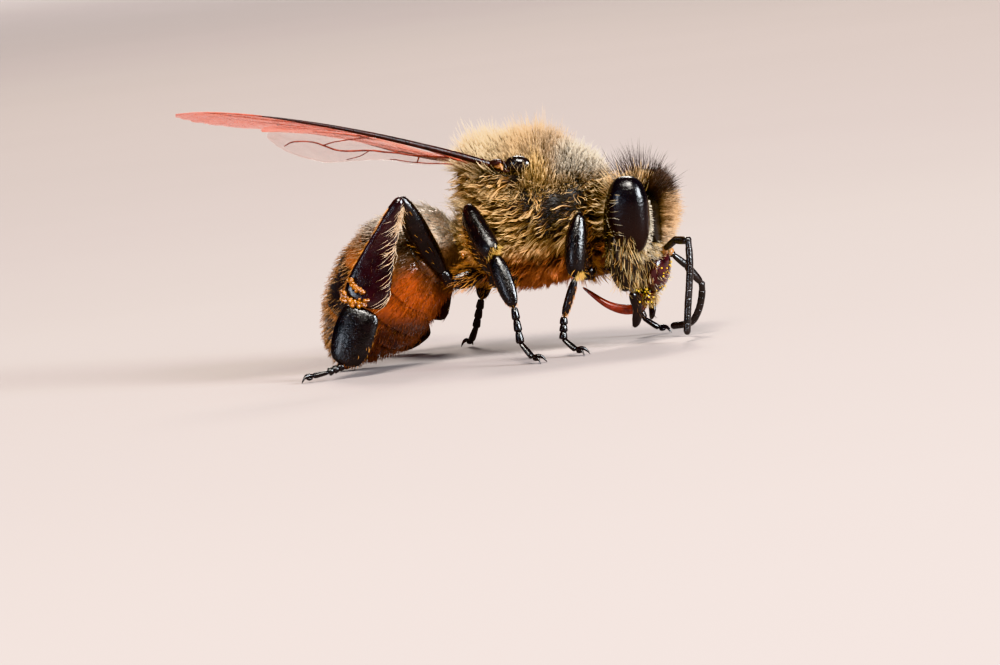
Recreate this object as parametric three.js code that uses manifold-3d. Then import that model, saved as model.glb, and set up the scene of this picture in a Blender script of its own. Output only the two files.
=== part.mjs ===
// A worker honey bee at life size, standing on the floor with its abdomen curled down.
// Millimetres. +X points to the head, +Y to the bee's left, +Z up, and the floor is Z = 0.
// Every sub-part is a closed solid that reaches out to the tips of its coat of hair.

import * as THREE from 'three';
import * as BufferGeometryUtils from 'three/addons/utils/BufferGeometryUtils.js';
import Module from 'manifold-3d';

const wasm = await Module();
wasm.setup();

// ---- Driving dimensions -------------------------------------------------------------------

const GAP = 0.04; // clearance left between neighbouring sub-parts
const LEG_CLEARANCE = 0.06; // room that the trunk leaves around each upper leg piece
const WING_CLEARANCE = 0.08; // room that the trunk leaves around each wing root
const THIN = 0.25; // least half thickness of a leg or feeler
const WING_THICKNESS = 0.5;
const WING_LENGTH = 8.95;
const HINDWING_REACH = 5.8; // how far out the hindwing's tip lies
const WELD = 1e-5; // vertices closer than this are one

const SIDES = { right: -1, left: 1 };

// Trunk: the thorax with its coat, and the round niche in the coat around each wing root.
const THORAX = { centre: [-0.1, 0, 4.32], half: [2.12, 2.16, 2.33], power: 2.25, pitch: 0.1 };
const THORAX_REAR = { centre: [-1.3, 0, 5.0], half: [1.12, 1.5, 1.62], power: 2.2, pitch: -0.15 };
const THORAX_FRONT = { centre: [0.85, 0, 4.65], half: [1.42, 1.55, 1.6], power: 2.2, pitch: 0 };
const WING_NICHE = { centre: [-0.35, 2.12, 6.0], half: [1.15, 0.72, 0.62] };
const TEGULA = { centre: [0.02, 1.72, 5.55], half: [0.58, 0.32, 0.26], pitch: 0.14 };

// Head: a capsule, the crest of hair on the crown, the hair of the face, and the clypeus.
const HEAD_PITCH = 0.14;
const HEAD_CAPSULE = { centre: [2.99, 0, 3.1], half: [0.98, 1.72, 1.78], power: 2.2, pitch: HEAD_PITCH };
const HEAD_CREST = { centre: [3.16, 0, 4.5], half: [0.84, 1.25, 0.95], power: 2.1, pitch: 0.1 };
const HEAD_FACE = { centre: [3.6, 0, 3.62], half: [0.78, 1.2, 1.3], power: 2.1, pitch: HEAD_PITCH };
const HEAD_CLYPEUS = { centre: [3.3, 0, 2.0], half: [0.52, 0.85, 0.95], power: 2.2, pitch: 0.3 };
const EYE = { centre: [3.2, 1.48, 3.76], half: [0.5, 0.44, 1.16], power: 2.3, pitch: 0.06 };

// Abdomen: its spine from the waist to the tip, and where one segment ends and the next begins.
const ABDOMEN_SPINE = [
  [-2.35, 3.35], [-3.3, 2.93], [-4.1, 2.5], [-4.8, 1.95], [-5.45, 1.35], [-5.95, 0.68], [-6.2, 0.05],
];
const ABDOMEN_BACK = [1.28, 1.78, 1.94, 1.96, 1.87, 1.66, 1.3, 0.8, 0.16]; // heights above the spine
const ABDOMEN_BELLY = [0.6, 1.05, 1.28, 1.46, 1.62, 1.58, 1.3, 0.8, 0.16]; // depths below it
const ABDOMEN_HALF_WIDTH = [0.85, 1.78, 2.1, 2.16, 2.08, 1.86, 1.45, 0.88, 0.18];
const ABDOMEN_SEGMENT_ENDS = [0, 0.17, 0.37, 0.55, 0.71, 0.86, 1];

// Wings, in a wing's own plane: distance out from the root, then back from the leading edge.
// `sweep` and `rise` turn the span out and up, `sag` bends it down by the square of the distance
// out, `droop` tips the forewing's trailing edge down, and `hang` the hindwing's, which is hooked
// to it along a fold.
const FOREWING = {
  lead: [[0, 0], [2.5, -0.1], [5, -0.08], [7.2, 0.12], [8.3, 0.52], [8.9, 1.25]],
  trail: [
    [0, 0.38], [1.5, 0.95], [3.2, 2.05], [4.9, 2.85], [6.4, 3.05], [7.8, 2.65], [8.7, 1.95],
    [WING_LENGTH, 1.5],
  ],
};
const HINDWING = {
  lead: [[0.25, 0.85], [1.4, 1.1], [2.9, 2.08], [4.1, 2.72], [5.1, 3.12], [5.75, 3.36]],
  trail: [[0.2, 1.25], [1.2, 1.9], [2.6, 3.05], [3.95, 4.1], [4.95, 4.4], [5.65, 4.05], [5.8, 3.6]],
};
const WING_POSES = {
  right: {
    root: [-0.62, 1.66, 5.56], sweep: 0.5, rise: 0.4, sag: 0.011,
    droop: [0.16, -0.04, 0.05, 0.13, 0.17], hang: [0.12, 0.52, 0.66, 0.38],
  },
  left: {
    root: [-0.62, 1.66, 5.37], sweep: 0.5, rise: 0.022, sag: -0.018,
    droop: [0.01, -0.33, -0.3, 0], hang: [-0.22, -0.27, -0.17],
  },
};

// Feelers: root, elbow and the line of the flagellum.
const SCAPES = {
  right: [[3.78, -0.36, 2.66], [4.3, -0.72, 2.95], [4.66, -1.0, 2.86]],
  left: [[3.8, 0.36, 2.42], [4.15, 0.66, 2.0], [4.42, 0.92, 1.55]],
};
const FLAGELLA = {
  right: [[4.72, -1.05, 2.5], [4.58, -1.08, 1.7], [4.44, -1.1, 1.0], [4.32, -1.12, 0.3]],
  left: [[4.36, 1.0, 1.25], [4.16, 1.12, 0.72], [3.82, 1.35, 0.37], [3.2, 1.75, 0.29]],
};

// Mouthparts: a mandible on each side, and the tongue folded back under the head.
const MANDIBLES = {
  right: [[2.78, -0.82, 1.42], [2.76, -0.72, 0.95], [2.66, -0.42, 0.5]],
  left: [[2.86, 0.82, 1.42], [2.9, 0.74, 0.98], [2.92, 0.46, 0.62]],
};
const JAW_WIDTH = [0.34, 0.3, 0.25, 0.2];
const JAW_DEPTH = [0.24, 0.22, 0.2, 0.16];
const PROBOSCIS = [[2.78, 0, 1.0], [2.35, 0, 1.02], [1.8, 0, 1.2], [1.15, 0, 1.74]];
const TONGUE_WIDTH = [0.25, 0.27, 0.26, 0.25];
const TONGUE_DEPTH = [0.3, 0.3, 0.28, 0.25];

// Legs: joints from the hip down to the claws, as distances out from the middle of the body.
// Each list is coxa, trochanter, knee, end of tibia, end of basitarsus, ankle of the claws, claws.
const LEGS = {
  fore: {
    right: [[1.3, 0.45, 2.55], [1.62, 0.82, 2.1], [1.87, 2.12, 4.04], [1.6, 2.38, 2.2],
      [1.16, 2.46, 1.14], [1.08, 2.5, 0.52], [1.42, 2.56, 0.2]],
    left: [[1.3, 0.45, 2.55], [1.62, 0.82, 2.1], [1.95, 2.15, 4.0], [2.1, 2.5, 2.2],
      [2.0, 2.7, 1.14], [2.05, 2.8, 0.52], [2.42, 2.95, 0.2]],
    femur: [0.27, 0.33, 0.3, 0.27],
    tibia: [0.25, 0.33, 0.34, 0.28],
    tibiaDepth: [0.25, 0.27, 0.27, 0.25],
    basitarsus: [0.25, 0.25, 0.25],
    basitarsusDepth: [0.25, 0.25, 0.25],
  },
  mid: {
    right: [[-0.45, 0.5, 2.5], [-1.12, 1.0, 2.15], [-1.27, 2.6, 4.57], [-0.41, 3.4, 3.14],
      [0.1, 3.72, 1.62], [0.2, 3.84, 0.62], [0.52, 3.92, 0.2]],
    left: [[-0.45, 0.5, 2.5], [-1.12, 1.0, 2.15], [-1.8, 2.7, 4.4], [-2.5, 3.6, 2.85],
      [-3.1, 4.15, 1.4], [-3.42, 4.4, 0.6], [-3.7, 4.72, 0.2]],
    femur: [0.27, 0.34, 0.32, 0.27],
    tibia: [0.27, 0.32, 0.35, 0.32],
    tibiaDepth: [0.25, 0.25, 0.26, 0.25],
    basitarsus: [0.27, 0.3, 0.27],
    basitarsusDepth: [0.25, 0.25, 0.25],
  },
  hind: {
    right: [[-1.55, 0.5, 2.55], [-2.45, 1.1, 2.3], [-3.2, 2.45, 4.98], [-4.6, 2.8, 1.97],
      [-5.28, 3.02, 0.38], [-5.72, 3.13, 0.25], [-6.14, 3.24, 0.19]],
    left: [[-1.55, 0.5, 2.55], [-2.45, 1.1, 2.3], [-3.3, 3.45, 3.85], [-4.85, 4.1, 1.05],
      [-6.25, 4.65, 0.42], [-6.57, 4.8, 0.24], [-6.93, 4.95, 0.19]],
    femur: [0.3, 0.38, 0.38, 0.3],
    tibia: [0.27, 0.34, 0.5, 0.66, 0.68],
    tibiaDepth: [0.25, 0.27, 0.28, 0.28, 0.27],
    basitarsus: [0.6, 0.69, 0.62, 0.42],
    basitarsusDepth: [0.25, 0.25, 0.25, 0.25],
  },
};
const JOINT_OVERLAP = 0.1;
const COXA_WIDTH = [0.34, 0.36, 0.3];
const FEMUR_BOW = -0.1; // how far the middle of each femur bends back
const CLAW_LENGTH = 0.45;
const CLAW_SPREAD = 0.5;
const CLAW_HALF_THICKNESS = 0.1;
const CLAW_HALF_WIDTHS = [0.12, 0.1, 0.08];

// ---- Materials ----------------------------------------------------------------------------

const finish = (color, roughness) => new THREE.MeshStandardMaterial({ color, roughness, metalness: 0 });
const COAT = () => finish(0xb08a55, 0.9);
const FACE_COAT = () => finish(0xa0713f, 0.9);
const BLACK_SHELL = () => finish(0x17120f, 0.3);
const AMBER_SHELL = () => finish(0xb4621f, 0.45);
const EYE_BLACK = () => finish(0x0d0908, 0.15);
const CHESTNUT = () => finish(0x6b2a14, 0.35);
const WING_AMBER = () => finish(0xc9a182, 0.3);

// ---- Geometry helpers ---------------------------------------------------------------------

// The value at `t`, from 0 to 1, along an evenly spaced list of sizes.
function sizeAlong(sizes, t) {
  const place = t * (sizes.length - 1);
  const index = Math.min(Math.floor(place), sizes.length - 2);
  return THREE.MathUtils.lerp(sizes[index], sizes[index + 1], place - index);
}

// Moves every vertex of a geometry to where `place(point)` puts it.
function reshape(geometry, place) {
  const position = geometry.attributes.position;
  const point = new THREE.Vector3();
  for (let i = 0; i < position.count; i += 1) {
    place(point.fromBufferAttribute(position, i));
    position.setXYZ(i, point.x, point.y, point.z);
  }
  return geometry;
}

// A ball stretched to three half sizes. Its power makes it round (2) or squarer (more than 2).
function ball({ centre, half, power = 2, pitch = 0 }, side = 1, grow = 0, around = 14, rows = 10) {
  const geometry = new THREE.SphereGeometry(1, around, rows);
  reshape(geometry, (point) => {
    const reach = Math.abs(point.x) ** power + Math.abs(point.y) ** power + Math.abs(point.z) ** power;
    point.multiplyScalar(reach ** (-1 / power));
    point.multiply(new THREE.Vector3(half[0] + grow, half[1] + grow, half[2] + grow));
  });
  geometry.rotateY(pitch);
  return geometry.translate(centre[0], side * centre[1], centre[2]);
}

const END_BLUNTNESS = 5;

// A round-ended piece along a smooth line. `width` and `depth` are half sizes along its length,
// and `face` is the direction that its broad side looks to.
function limb({ line, width, depth = width, face = [0, 1, 0] }, grow = 0, around = 7, rows = 6) {
  const curve = new THREE.CatmullRomCurve3(line.map((point) => new THREE.Vector3(...point)));
  const outward = new THREE.Vector3(...face);
  const geometry = new THREE.SphereGeometry(1, around, rows);
  return reshape(geometry, (point) => {
    const t = (1 - point.y) / 2;
    const angle = Math.atan2(point.z, point.x);
    const taper = Math.sqrt(Math.max(0, 1 - Math.abs(2 * t - 1) ** END_BLUNTNESS));
    const tangent = curve.getTangentAt(t);
    const across = outward.clone().addScaledVector(tangent, -outward.dot(tangent)).normalize();
    const along = new THREE.Vector3().crossVectors(tangent, across);
    const centre = curve.getPointAt(t).addScaledVector(tangent, (2 * t - 1) * grow);
    const isPole = Math.abs(point.y) > 1 - WELD;
    const wide = isPole ? 0 : taper * (sizeAlong(width, t) + grow);
    const deep = isPole ? 0 : taper * (sizeAlong(depth, t) + grow);
    point.copy(centre);
    point.addScaledVector(along, wide * Math.cos(angle));
    point.addScaledVector(across, -deep * Math.sin(angle));
  });
}

// A closed geometry as a solid that can be joined and cut.
function toSolid(geometry) {
  const bare = geometry.clone();
  bare.deleteAttribute('normal');
  bare.deleteAttribute('uv');
  const welded = BufferGeometryUtils.mergeVertices(bare, WELD);
  return new wasm.Manifold(new wasm.Mesh({
    numProp: 3,
    vertProperties: welded.attributes.position.array,
    triVerts: new Uint32Array(welded.index.array),
  }));
}

// A solid as a geometry again.
function toGeometry(solid) {
  const mesh = solid.getMesh();
  const geometry = new THREE.BufferGeometry();
  geometry.setAttribute('position', new THREE.BufferAttribute(mesh.vertProperties, 3));
  geometry.setIndex(new THREE.BufferAttribute(mesh.triVerts, 1));
  geometry.computeVertexNormals();
  return geometry;
}

const join = (solids) => solids.reduce((whole, solid) => whole.add(solid));
const cut = (solid, tools) => tools.reduce((rest, tool) => rest.subtract(tool), solid);

// The largest of the pieces that a cut has left, so that no sliver stays with it.
function mainPiece(solid) {
  const larger = (one, other) => (other.volume() > one.volume() ? other : one);
  return solid.decompose().reduce(larger);
}

// Everything below the floor, which is cut away to leave small flats under the feet.
const FLOOR_SIZE = 40;
const floorBlock = new THREE.BoxGeometry(FLOOR_SIZE, FLOOR_SIZE, FLOOR_SIZE);
const belowFloor = toSolid(floorBlock.translate(0, 0, -FLOOR_SIZE / 2));

const bee = new THREE.Group();

function addPart(name, solid, material) {
  const mesh = new THREE.Mesh(toGeometry(mainPiece(solid)), material);
  mesh.name = name;
  bee.add(mesh);
}

// ---- Legs ---------------------------------------------------------------------------------

const mirrored = (point, side) => [point[0], side * point[1], point[2]];

// The point a given distance from `from` towards `to`.
function towards(from, to, distance) {
  const start = new THREE.Vector3(...from);
  const step = new THREE.Vector3(...to).sub(start).setLength(distance);
  return start.add(step).toArray();
}

// The line of one leg piece, drawn out past both joints so that its neighbours fit close.
function betweenJoints(from, to, bow = 0) {
  const start = towards(from, to, -JOINT_OVERLAP);
  const end = towards(to, from, -JOINT_OVERLAP);
  const middle = new THREE.Vector3(...start).lerp(new THREE.Vector3(...end), 0.5);
  middle.x += bow;
  return [start, middle.toArray(), end];
}

// The last four tarsomeres with a pair of spread claws.
function foot({ start, ankle, tip }) {
  const toes = [toSolid(limb({ line: [start, ankle, tip], width: [THIN, THIN] }))];
  for (const spread of [-CLAW_SPREAD, CLAW_SPREAD]) {
    const reach = new THREE.Vector3(...tip).sub(new THREE.Vector3(...ankle)).setZ(0).setLength(CLAW_LENGTH);
    reach.applyAxisAngle(new THREE.Vector3(0, 0, 1), spread);
    const root = towards(tip, ankle, CLAW_LENGTH / 2);
    const middle = [tip[0] + reach.x / 2, tip[1] + reach.y / 2, tip[2]];
    const point = [tip[0] + reach.x, tip[1] + reach.y, CLAW_HALF_THICKNESS];
    toes.push(toSolid(limb({ line: [root, middle, point], width: CLAW_HALF_WIDTHS }, 0, 4, 4)));
  }
  return join(toes);
}

// The pieces of one leg, each with a plain description that can also be grown into a cutter.
function legPieces(pair, sideName) {
  const side = SIDES[sideName];
  const [coxa, trochanter, knee, tibiaEnd, basitarsusEnd, ankle, tip] = (
    LEGS[pair][sideName].map((point) => mirrored(point, side)));
  const { femur, tibia, tibiaDepth, basitarsus, basitarsusDepth } = LEGS[pair];
  return {
    coxa: { line: betweenJoints(coxa, trochanter), width: COXA_WIDTH },
    femur: { line: betweenJoints(trochanter, knee, FEMUR_BOW), width: femur },
    tibia: { line: betweenJoints(knee, tibiaEnd), width: tibia, depth: tibiaDepth },
    basitarsus: { line: betweenJoints(tibiaEnd, basitarsusEnd), width: basitarsus, depth: basitarsusDepth },
    foot: { start: towards(basitarsusEnd, ankle, -JOINT_OVERLAP), ankle, tip },
  };
}

const legs = [];
for (const pair of Object.keys(LEGS)) {
  for (const sideName of Object.keys(SIDES)) {
    legs.push({ name: `${pair}leg_${sideName}`, pieces: legPieces(pair, sideName) });
  }
}

// Each piece gives way to the one above it, so that the joints meet with a thin gap.
for (const { name, pieces } of legs) {
  const order = ['coxa', 'femur', 'tibia', 'basitarsus'];
  let above = [];
  for (const key of order) {
    const solid = cut(toSolid(limb(pieces[key])), [...above, belowFloor]);
    addPart(`${name}_${key}`, solid, BLACK_SHELL());
    above = [toSolid(limb(pieces[key], GAP))];
  }
  addPart(`${name}_tarsus`, cut(foot(pieces.foot), [...above, belowFloor]), BLACK_SHELL());
}

// Cutters that keep the trunk clear of the upper leg pieces.
const legCutter = (piece) => toSolid(limb(piece, LEG_CLEARANCE, 6, 5));
const upperLegs = legs.flatMap(({ pieces }) => [legCutter(pieces.coxa), legCutter(pieces.femur)]);

// ---- Wings --------------------------------------------------------------------------------

// The frame of one wing: out along the wing, and in across it from the leading edge.
function wingFrame(sideName) {
  const side = SIDES[sideName];
  const { root, sweep, rise, sag, droop, hang } = WING_POSES[sideName];
  const out = new THREE.Vector3(
    -Math.cos(rise) * Math.cos(sweep),
    side * Math.cos(rise) * Math.sin(sweep),
    Math.sin(rise),
  );
  const inward = new THREE.Vector3(-Math.sin(sweep), -side * Math.cos(sweep), 0);
  const up = new THREE.Vector3().crossVectors(out, inward).multiplyScalar(side);
  return { root: new THREE.Vector3(...mirrored(root, side)), out, inward, up, sag, droop, hang };
}

// How far back from the leading edge the hindwing is hooked on, at a distance out from the root.
function foldAt(reach) {
  const next = HINDWING.lead.findIndex(([out]) => out > reach);
  if (next < 1) {
    return next === 0 ? HINDWING.lead[0][1] : WING_LENGTH;
  }
  const [low, high] = HINDWING.lead.slice(next - 1, next + 1);
  return THREE.MathUtils.mapLinear(reach, low[0], high[0], low[1], high[1]);
}

// A thin plate between a leading and a trailing edge, twisted a little from root to tip.
function wingPlate({ lead, trail }, sideName, grow, steps) {
  const { root, out, inward, up, sag, droop, hang } = wingFrame(sideName);
  const edge = (points) => new THREE.SplineCurve(points.map((point) => new THREE.Vector2(...point)));
  const leadEdge = edge(lead);
  const trailEdge = edge(trail);
  const geometry = new THREE.BoxGeometry(1, 1, 1, ...steps, 1);
  return reshape(geometry, (point) => {
    const t = point.x + 0.5;
    const chord = point.y + 0.5;
    const flat = leadEdge.getPoint(t).lerp(trailEdge.getPoint(t), chord);
    const droopAngle = sizeAlong(droop, THREE.MathUtils.clamp(flat.x / WING_LENGTH, 0, 1));
    const hangAngle = sizeAlong(hang, THREE.MathUtils.clamp(flat.x / HINDWING_REACH, 0, 1));
    const height = point.z * (WING_THICKNESS + 2 * grow);
    const back = flat.y + (2 * chord - 1) * grow;
    const front = Math.min(back, foldAt(flat.x));
    const rear = back - front;
    const angle = rear > 0 ? hangAngle : droopAngle;
    const across = front * Math.cos(droopAngle) + rear * Math.cos(hangAngle);
    const drop = front * Math.sin(droopAngle) + rear * Math.sin(hangAngle) + sag * flat.x ** 2;
    point.copy(root);
    point.addScaledVector(out, flat.x);
    point.addScaledVector(inward, across + height * Math.sin(angle));
    point.addScaledVector(up, height * Math.cos(angle) - drop);
  });
}

const FINE_STEPS = [13, 3]; // along and across a wing
const COARSE_STEPS = [5, 1];

// Makes a solid of a plate, turned the right way out on either side.
function wingSolid(outline, sideName, grow = 0, steps = FINE_STEPS) {
  const geometry = wingPlate(outline, sideName, grow, steps);
  const solid = toSolid(geometry);
  if (solid.volume() > 0) {
    return solid;
  }
  for (let i = 0; i < geometry.index.count; i += 3) {
    const first = geometry.index.getX(i);
    geometry.index.setX(i, geometry.index.getX(i + 1));
    geometry.index.setX(i + 1, first);
  }
  return toSolid(geometry);
}

const wingCutters = [];
for (const sideName of Object.keys(SIDES)) {
  const forewing = wingSolid(FOREWING, sideName);
  const hindwing = cut(wingSolid(HINDWING, sideName), [wingSolid(FOREWING, sideName, GAP)]);
  const tegula = toSolid(ball(TEGULA, SIDES[sideName], GAP, 10, 6));
  addPart(`forewing_${sideName}`, cut(forewing, [tegula]), WING_AMBER());
  addPart(`hindwing_${sideName}`, cut(hindwing, [tegula]), WING_AMBER());
  addPart(`tegula_${sideName}`, toSolid(ball(TEGULA, SIDES[sideName], 0, 12, 8)), BLACK_SHELL());
  const niche = toSolid(ball(WING_NICHE, SIDES[sideName], 0, 10, 6));
  wingCutters.push(niche.add(tegula));
  wingCutters.push(wingSolid(FOREWING, sideName, WING_CLEARANCE, COARSE_STEPS));
  wingCutters.push(wingSolid(HINDWING, sideName, WING_CLEARANCE, COARSE_STEPS));
}

// ---- Head ---------------------------------------------------------------------------------

const HEAD_AROUND = 12;
const HEAD_ROWS = 8;
const headParts = [HEAD_CAPSULE, HEAD_CREST, HEAD_FACE, HEAD_CLYPEUS];
const headShape = (grow) => join(
  headParts.map((part) => toSolid(ball(part, 1, grow, HEAD_AROUND, HEAD_ROWS))));
const headGrown = headShape(GAP);
const eyeCutters = Object.values(SIDES).map((side) => toSolid(ball(EYE, side, GAP, 10, 8)));
const THORAX_PARTS = [THORAX, THORAX_REAR, THORAX_FRONT];
const thoraxGrown = join(THORAX_PARTS.map((part) => toSolid(ball(part, 1, GAP))));
const mouthCutters = [];

for (const sideName of Object.keys(SIDES)) {
  const jaw = { line: MANDIBLES[sideName], width: JAW_WIDTH, depth: JAW_DEPTH };
  addPart(`mandible_${sideName}`, cut(toSolid(limb(jaw)), [headGrown]), CHESTNUT());
  mouthCutters.push(toSolid(limb(jaw, GAP)));
  addPart(`eye_${sideName}`, toSolid(ball(EYE, SIDES[sideName], 0, 12, 10)), EYE_BLACK());
  const scape = { line: SCAPES[sideName], width: [THIN, THIN] };
  const flagellum = { line: FLAGELLA[sideName], width: [THIN, THIN], face: [1, 0, 0] };
  const scapeSolid = cut(toSolid(limb(scape)), [headGrown]);
  addPart(`antenna_${sideName}_scape`, scapeSolid, BLACK_SHELL());
  const flagellumSolid = cut(toSolid(limb(flagellum, 0, 8, 10)), [toSolid(limb(scape, GAP))]);
  addPart(`antenna_${sideName}_flagellum`, flagellumSolid, BLACK_SHELL());
}

const tongue = { line: PROBOSCIS, width: TONGUE_WIDTH, depth: TONGUE_DEPTH };
const tongueCutters = [headGrown, thoraxGrown, ...mouthCutters, ...upperLegs];
addPart('proboscis', cut(toSolid(limb(tongue)), tongueCutters), CHESTNUT());

addPart('head', cut(headShape(0), [...eyeCutters, thoraxGrown]), FACE_COAT());

// ---- Thorax -------------------------------------------------------------------------------

const thorax = join(THORAX_PARTS.map((part) => toSolid(ball(part))));
addPart('thorax', cut(thorax, [...wingCutters, ...upperLegs]), COAT());

// ---- Abdomen ------------------------------------------------------------------------------

const spine = new THREE.CatmullRomCurve3(ABDOMEN_SPINE.map(([x, z]) => new THREE.Vector3(x, 0, z)));

const ABDOMEN_AROUND = 22;
const SEGMENT_ROWS = 3;

// One segment of the abdomen, between two places along the spine.
function abdomenSegment(from, to) {
  const shrink = GAP / 2 / spine.getLength();
  const start = from + (from > 0 ? shrink : 0);
  const end = to - (to < 1 ? shrink : 0);
  const geometry = new THREE.CylinderGeometry(1, 1, 1, ABDOMEN_AROUND, SEGMENT_ROWS);
  return reshape(geometry, (point) => {
    const t = THREE.MathUtils.lerp(start, end, 0.5 - point.y);
    const tangent = spine.getTangentAt(t);
    const up = new THREE.Vector3(tangent.z, 0, -tangent.x);
    const across = -point.x * sizeAlong(ABDOMEN_HALF_WIDTH, t);
    const above = point.z * sizeAlong(point.z > 0 ? ABDOMEN_BACK : ABDOMEN_BELLY, t);
    point.copy(spine.getPointAt(t)).addScaledVector(up, above);
    point.y = across;
  });
}

for (let i = 0; i < ABDOMEN_SEGMENT_ENDS.length - 1; i += 1) {
  const solid = toSolid(abdomenSegment(ABDOMEN_SEGMENT_ENDS[i], ABDOMEN_SEGMENT_ENDS[i + 1]));
  const cutters = [thoraxGrown, belowFloor, ...upperLegs, ...wingCutters];
  addPart(`abdomen_${i + 1}`, cut(solid, cutters), AMBER_SHELL());
}

// ---- Origin -------------------------------------------------------------------------------

// The origin is the middle of the footprint, on the floor.
const bounds = new THREE.Box3().setFromObject(bee);
const middle = bounds.getCenter(new THREE.Vector3());
bee.position.set(-middle.x, -middle.y, -bounds.min.z);

export default bee;
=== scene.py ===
"""A worker honey bee at life size, as a museum would mount it: shell, eyes, wings and coat of hair."""

import math

import bpy
import numpy as np
from mathutils import Matrix, Vector


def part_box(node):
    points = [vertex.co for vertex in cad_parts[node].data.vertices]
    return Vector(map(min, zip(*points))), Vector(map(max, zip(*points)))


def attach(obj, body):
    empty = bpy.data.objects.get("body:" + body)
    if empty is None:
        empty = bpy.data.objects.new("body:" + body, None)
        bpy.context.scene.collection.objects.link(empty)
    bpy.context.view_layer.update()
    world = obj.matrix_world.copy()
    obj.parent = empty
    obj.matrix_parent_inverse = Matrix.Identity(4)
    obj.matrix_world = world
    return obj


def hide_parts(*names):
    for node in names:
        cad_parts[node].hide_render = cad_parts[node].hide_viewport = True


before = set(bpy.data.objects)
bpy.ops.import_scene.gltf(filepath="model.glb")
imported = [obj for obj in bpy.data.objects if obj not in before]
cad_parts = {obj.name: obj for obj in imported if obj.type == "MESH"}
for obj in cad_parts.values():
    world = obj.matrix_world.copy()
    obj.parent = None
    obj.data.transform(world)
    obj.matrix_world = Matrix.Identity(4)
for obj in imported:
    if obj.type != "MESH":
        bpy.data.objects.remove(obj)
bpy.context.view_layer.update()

# ---- Thorax -----------------------------------------------------------------------------------
# The bee's middle: one hard box of dark shell that head, wings, legs and abdomen hang on. Its
# plates are fused, so it is shaped here from a few lumps run together into one closed skin.

MM = 0.001
SIDES = {"right": -1, "left": 1}

# The bee is shaped on the bench with one unit to the millimetre and the floor at zero. The middle
# of the right eye, known there and in the frame, says where the bench lies in the part's frame.
EYE_MIDDLE = Vector((3.2, -1.48, 3.76))
eye_low, eye_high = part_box("eye_right")
BENCH_PLACE = (eye_low + eye_high) / 2 - EYE_MIDDLE * MM


def pick_only(*pieces):
    """Leaves only these pieces selected, the first of them active."""
    bpy.ops.object.select_all(action="DESELECT")
    for piece in pieces:
        piece.select_set(True)
    bpy.context.view_layer.objects.active = pieces[0]


def settle(piece, name):
    """Names a piece and puts its place, turn and size into its mesh."""
    pick_only(piece)
    bpy.ops.object.transform_apply(location=True, rotation=True, scale=True)
    piece.name = name
    piece.data.name = name
    return piece


def finish_with(piece, kind, **settings):
    """Adds one modifier, sets it and applies it."""
    pick_only(piece)
    bpy.ops.object.modifier_add(type=kind)
    modifier = piece.modifiers[-1]
    for setting, value in settings.items():
        setattr(modifier, setting, value)
    bpy.ops.object.modifier_apply(modifier=modifier.name)
    return piece


def smooth_out(piece, levels=1):
    """Rounds a piece by dividing its faces, and shades it smooth."""
    finish_with(piece, "SUBSURF", levels=levels, render_levels=levels)
    bpy.ops.object.shade_smooth()
    return piece


def join(name, pieces):
    """Makes one smooth-shaded piece of several."""
    pick_only(*pieces)
    bpy.ops.object.join()
    bpy.ops.object.shade_smooth()
    return settle(bpy.context.object, name)


def lump(centre, half, pitch=0.0, rows=20):
    """A rounded lump of the given half sizes, leaning forward by its pitch."""
    bpy.ops.object.select_all(action="DESELECT")
    bpy.ops.mesh.primitive_uv_sphere_add(
        segments=2 * rows, ring_count=rows, radius=1, location=centre,
        rotation=(0, pitch, 0), scale=half)
    return bpy.context.object


def run_together(name, lumps, voxel, smoothing):
    """Makes one closed skin of several lumps and softens the hollows between them."""
    skin = join(name, lumps)
    finish_with(skin, "REMESH", mode="VOXEL", voxel_size=voxel)
    finish_with(skin, "SMOOTH", factor=0.5, iterations=smoothing)
    bpy.ops.object.shade_smooth()
    return skin


def set_down(piece, slot, *nodes):
    """Brings a finished piece from the bench to its real size and place, and gives it to the part."""
    piece.data.transform(Matrix.Translation(BENCH_PLACE) @ Matrix.Scale(MM, 4))
    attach(piece, "root")
    if nodes:
        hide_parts(*nodes)


def paint(red, green, blue):
    """A colour mixed in 255ths, as the numbers that a shader takes."""
    shares = (channel / 255 for channel in (red, green, blue))
    mixed = (((s + 0.055) / 1.055) ** 2.4 if s > 0.04 else s / 12.92 for s in shares)
    return (*mixed, 1.0)


def add_node(tree, kind, settings=None, **inputs):
    """Adds a shader node with its settings, and with a value or a link for each named input."""
    node = tree.nodes.new(kind)
    for setting, value in (settings or {}).items():
        setattr(node, setting, value)
    for socket, value in inputs.items():
        slot = node.inputs[int(socket[2:])] if socket.startswith("at") else node.inputs[socket]
        if isinstance(value, bpy.types.NodeSocket):
            tree.links.new(value, slot)
        else:
            slot.default_value = value
    return node


def new_finish(name, **constants):
    """A material with one Principled shader and the values that are the same all over it."""
    material = bpy.data.materials.new(name)
    material.use_nodes = True
    shader = material.node_tree.nodes["Principled BSDF"]
    for socket, value in constants.items():
        shader.inputs[socket.replace("_", " ")].default_value = value
    return material, material.node_tree, shader


def feed(tree, shader, **sources):
    """Links named inputs of the shader to the outputs that they follow."""
    for socket, source in sources.items():
        tree.links.new(source, shader.inputs[socket.replace("_", " ")])


def new_group(name, inputs, outputs):
    """An empty node group with named inputs, their first values, and named outputs."""
    group = bpy.data.node_groups.new(name, "ShaderNodeTree")
    for socket, (kind, value) in inputs.items():
        group.interface.new_socket(socket, in_out="INPUT", socket_type=kind).default_value = value
    for socket, kind in outputs.items():
        group.interface.new_socket(socket, in_out="OUTPUT", socket_type=kind)
    return group, group.nodes.new("NodeGroupInput"), group.nodes.new("NodeGroupOutput")


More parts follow.
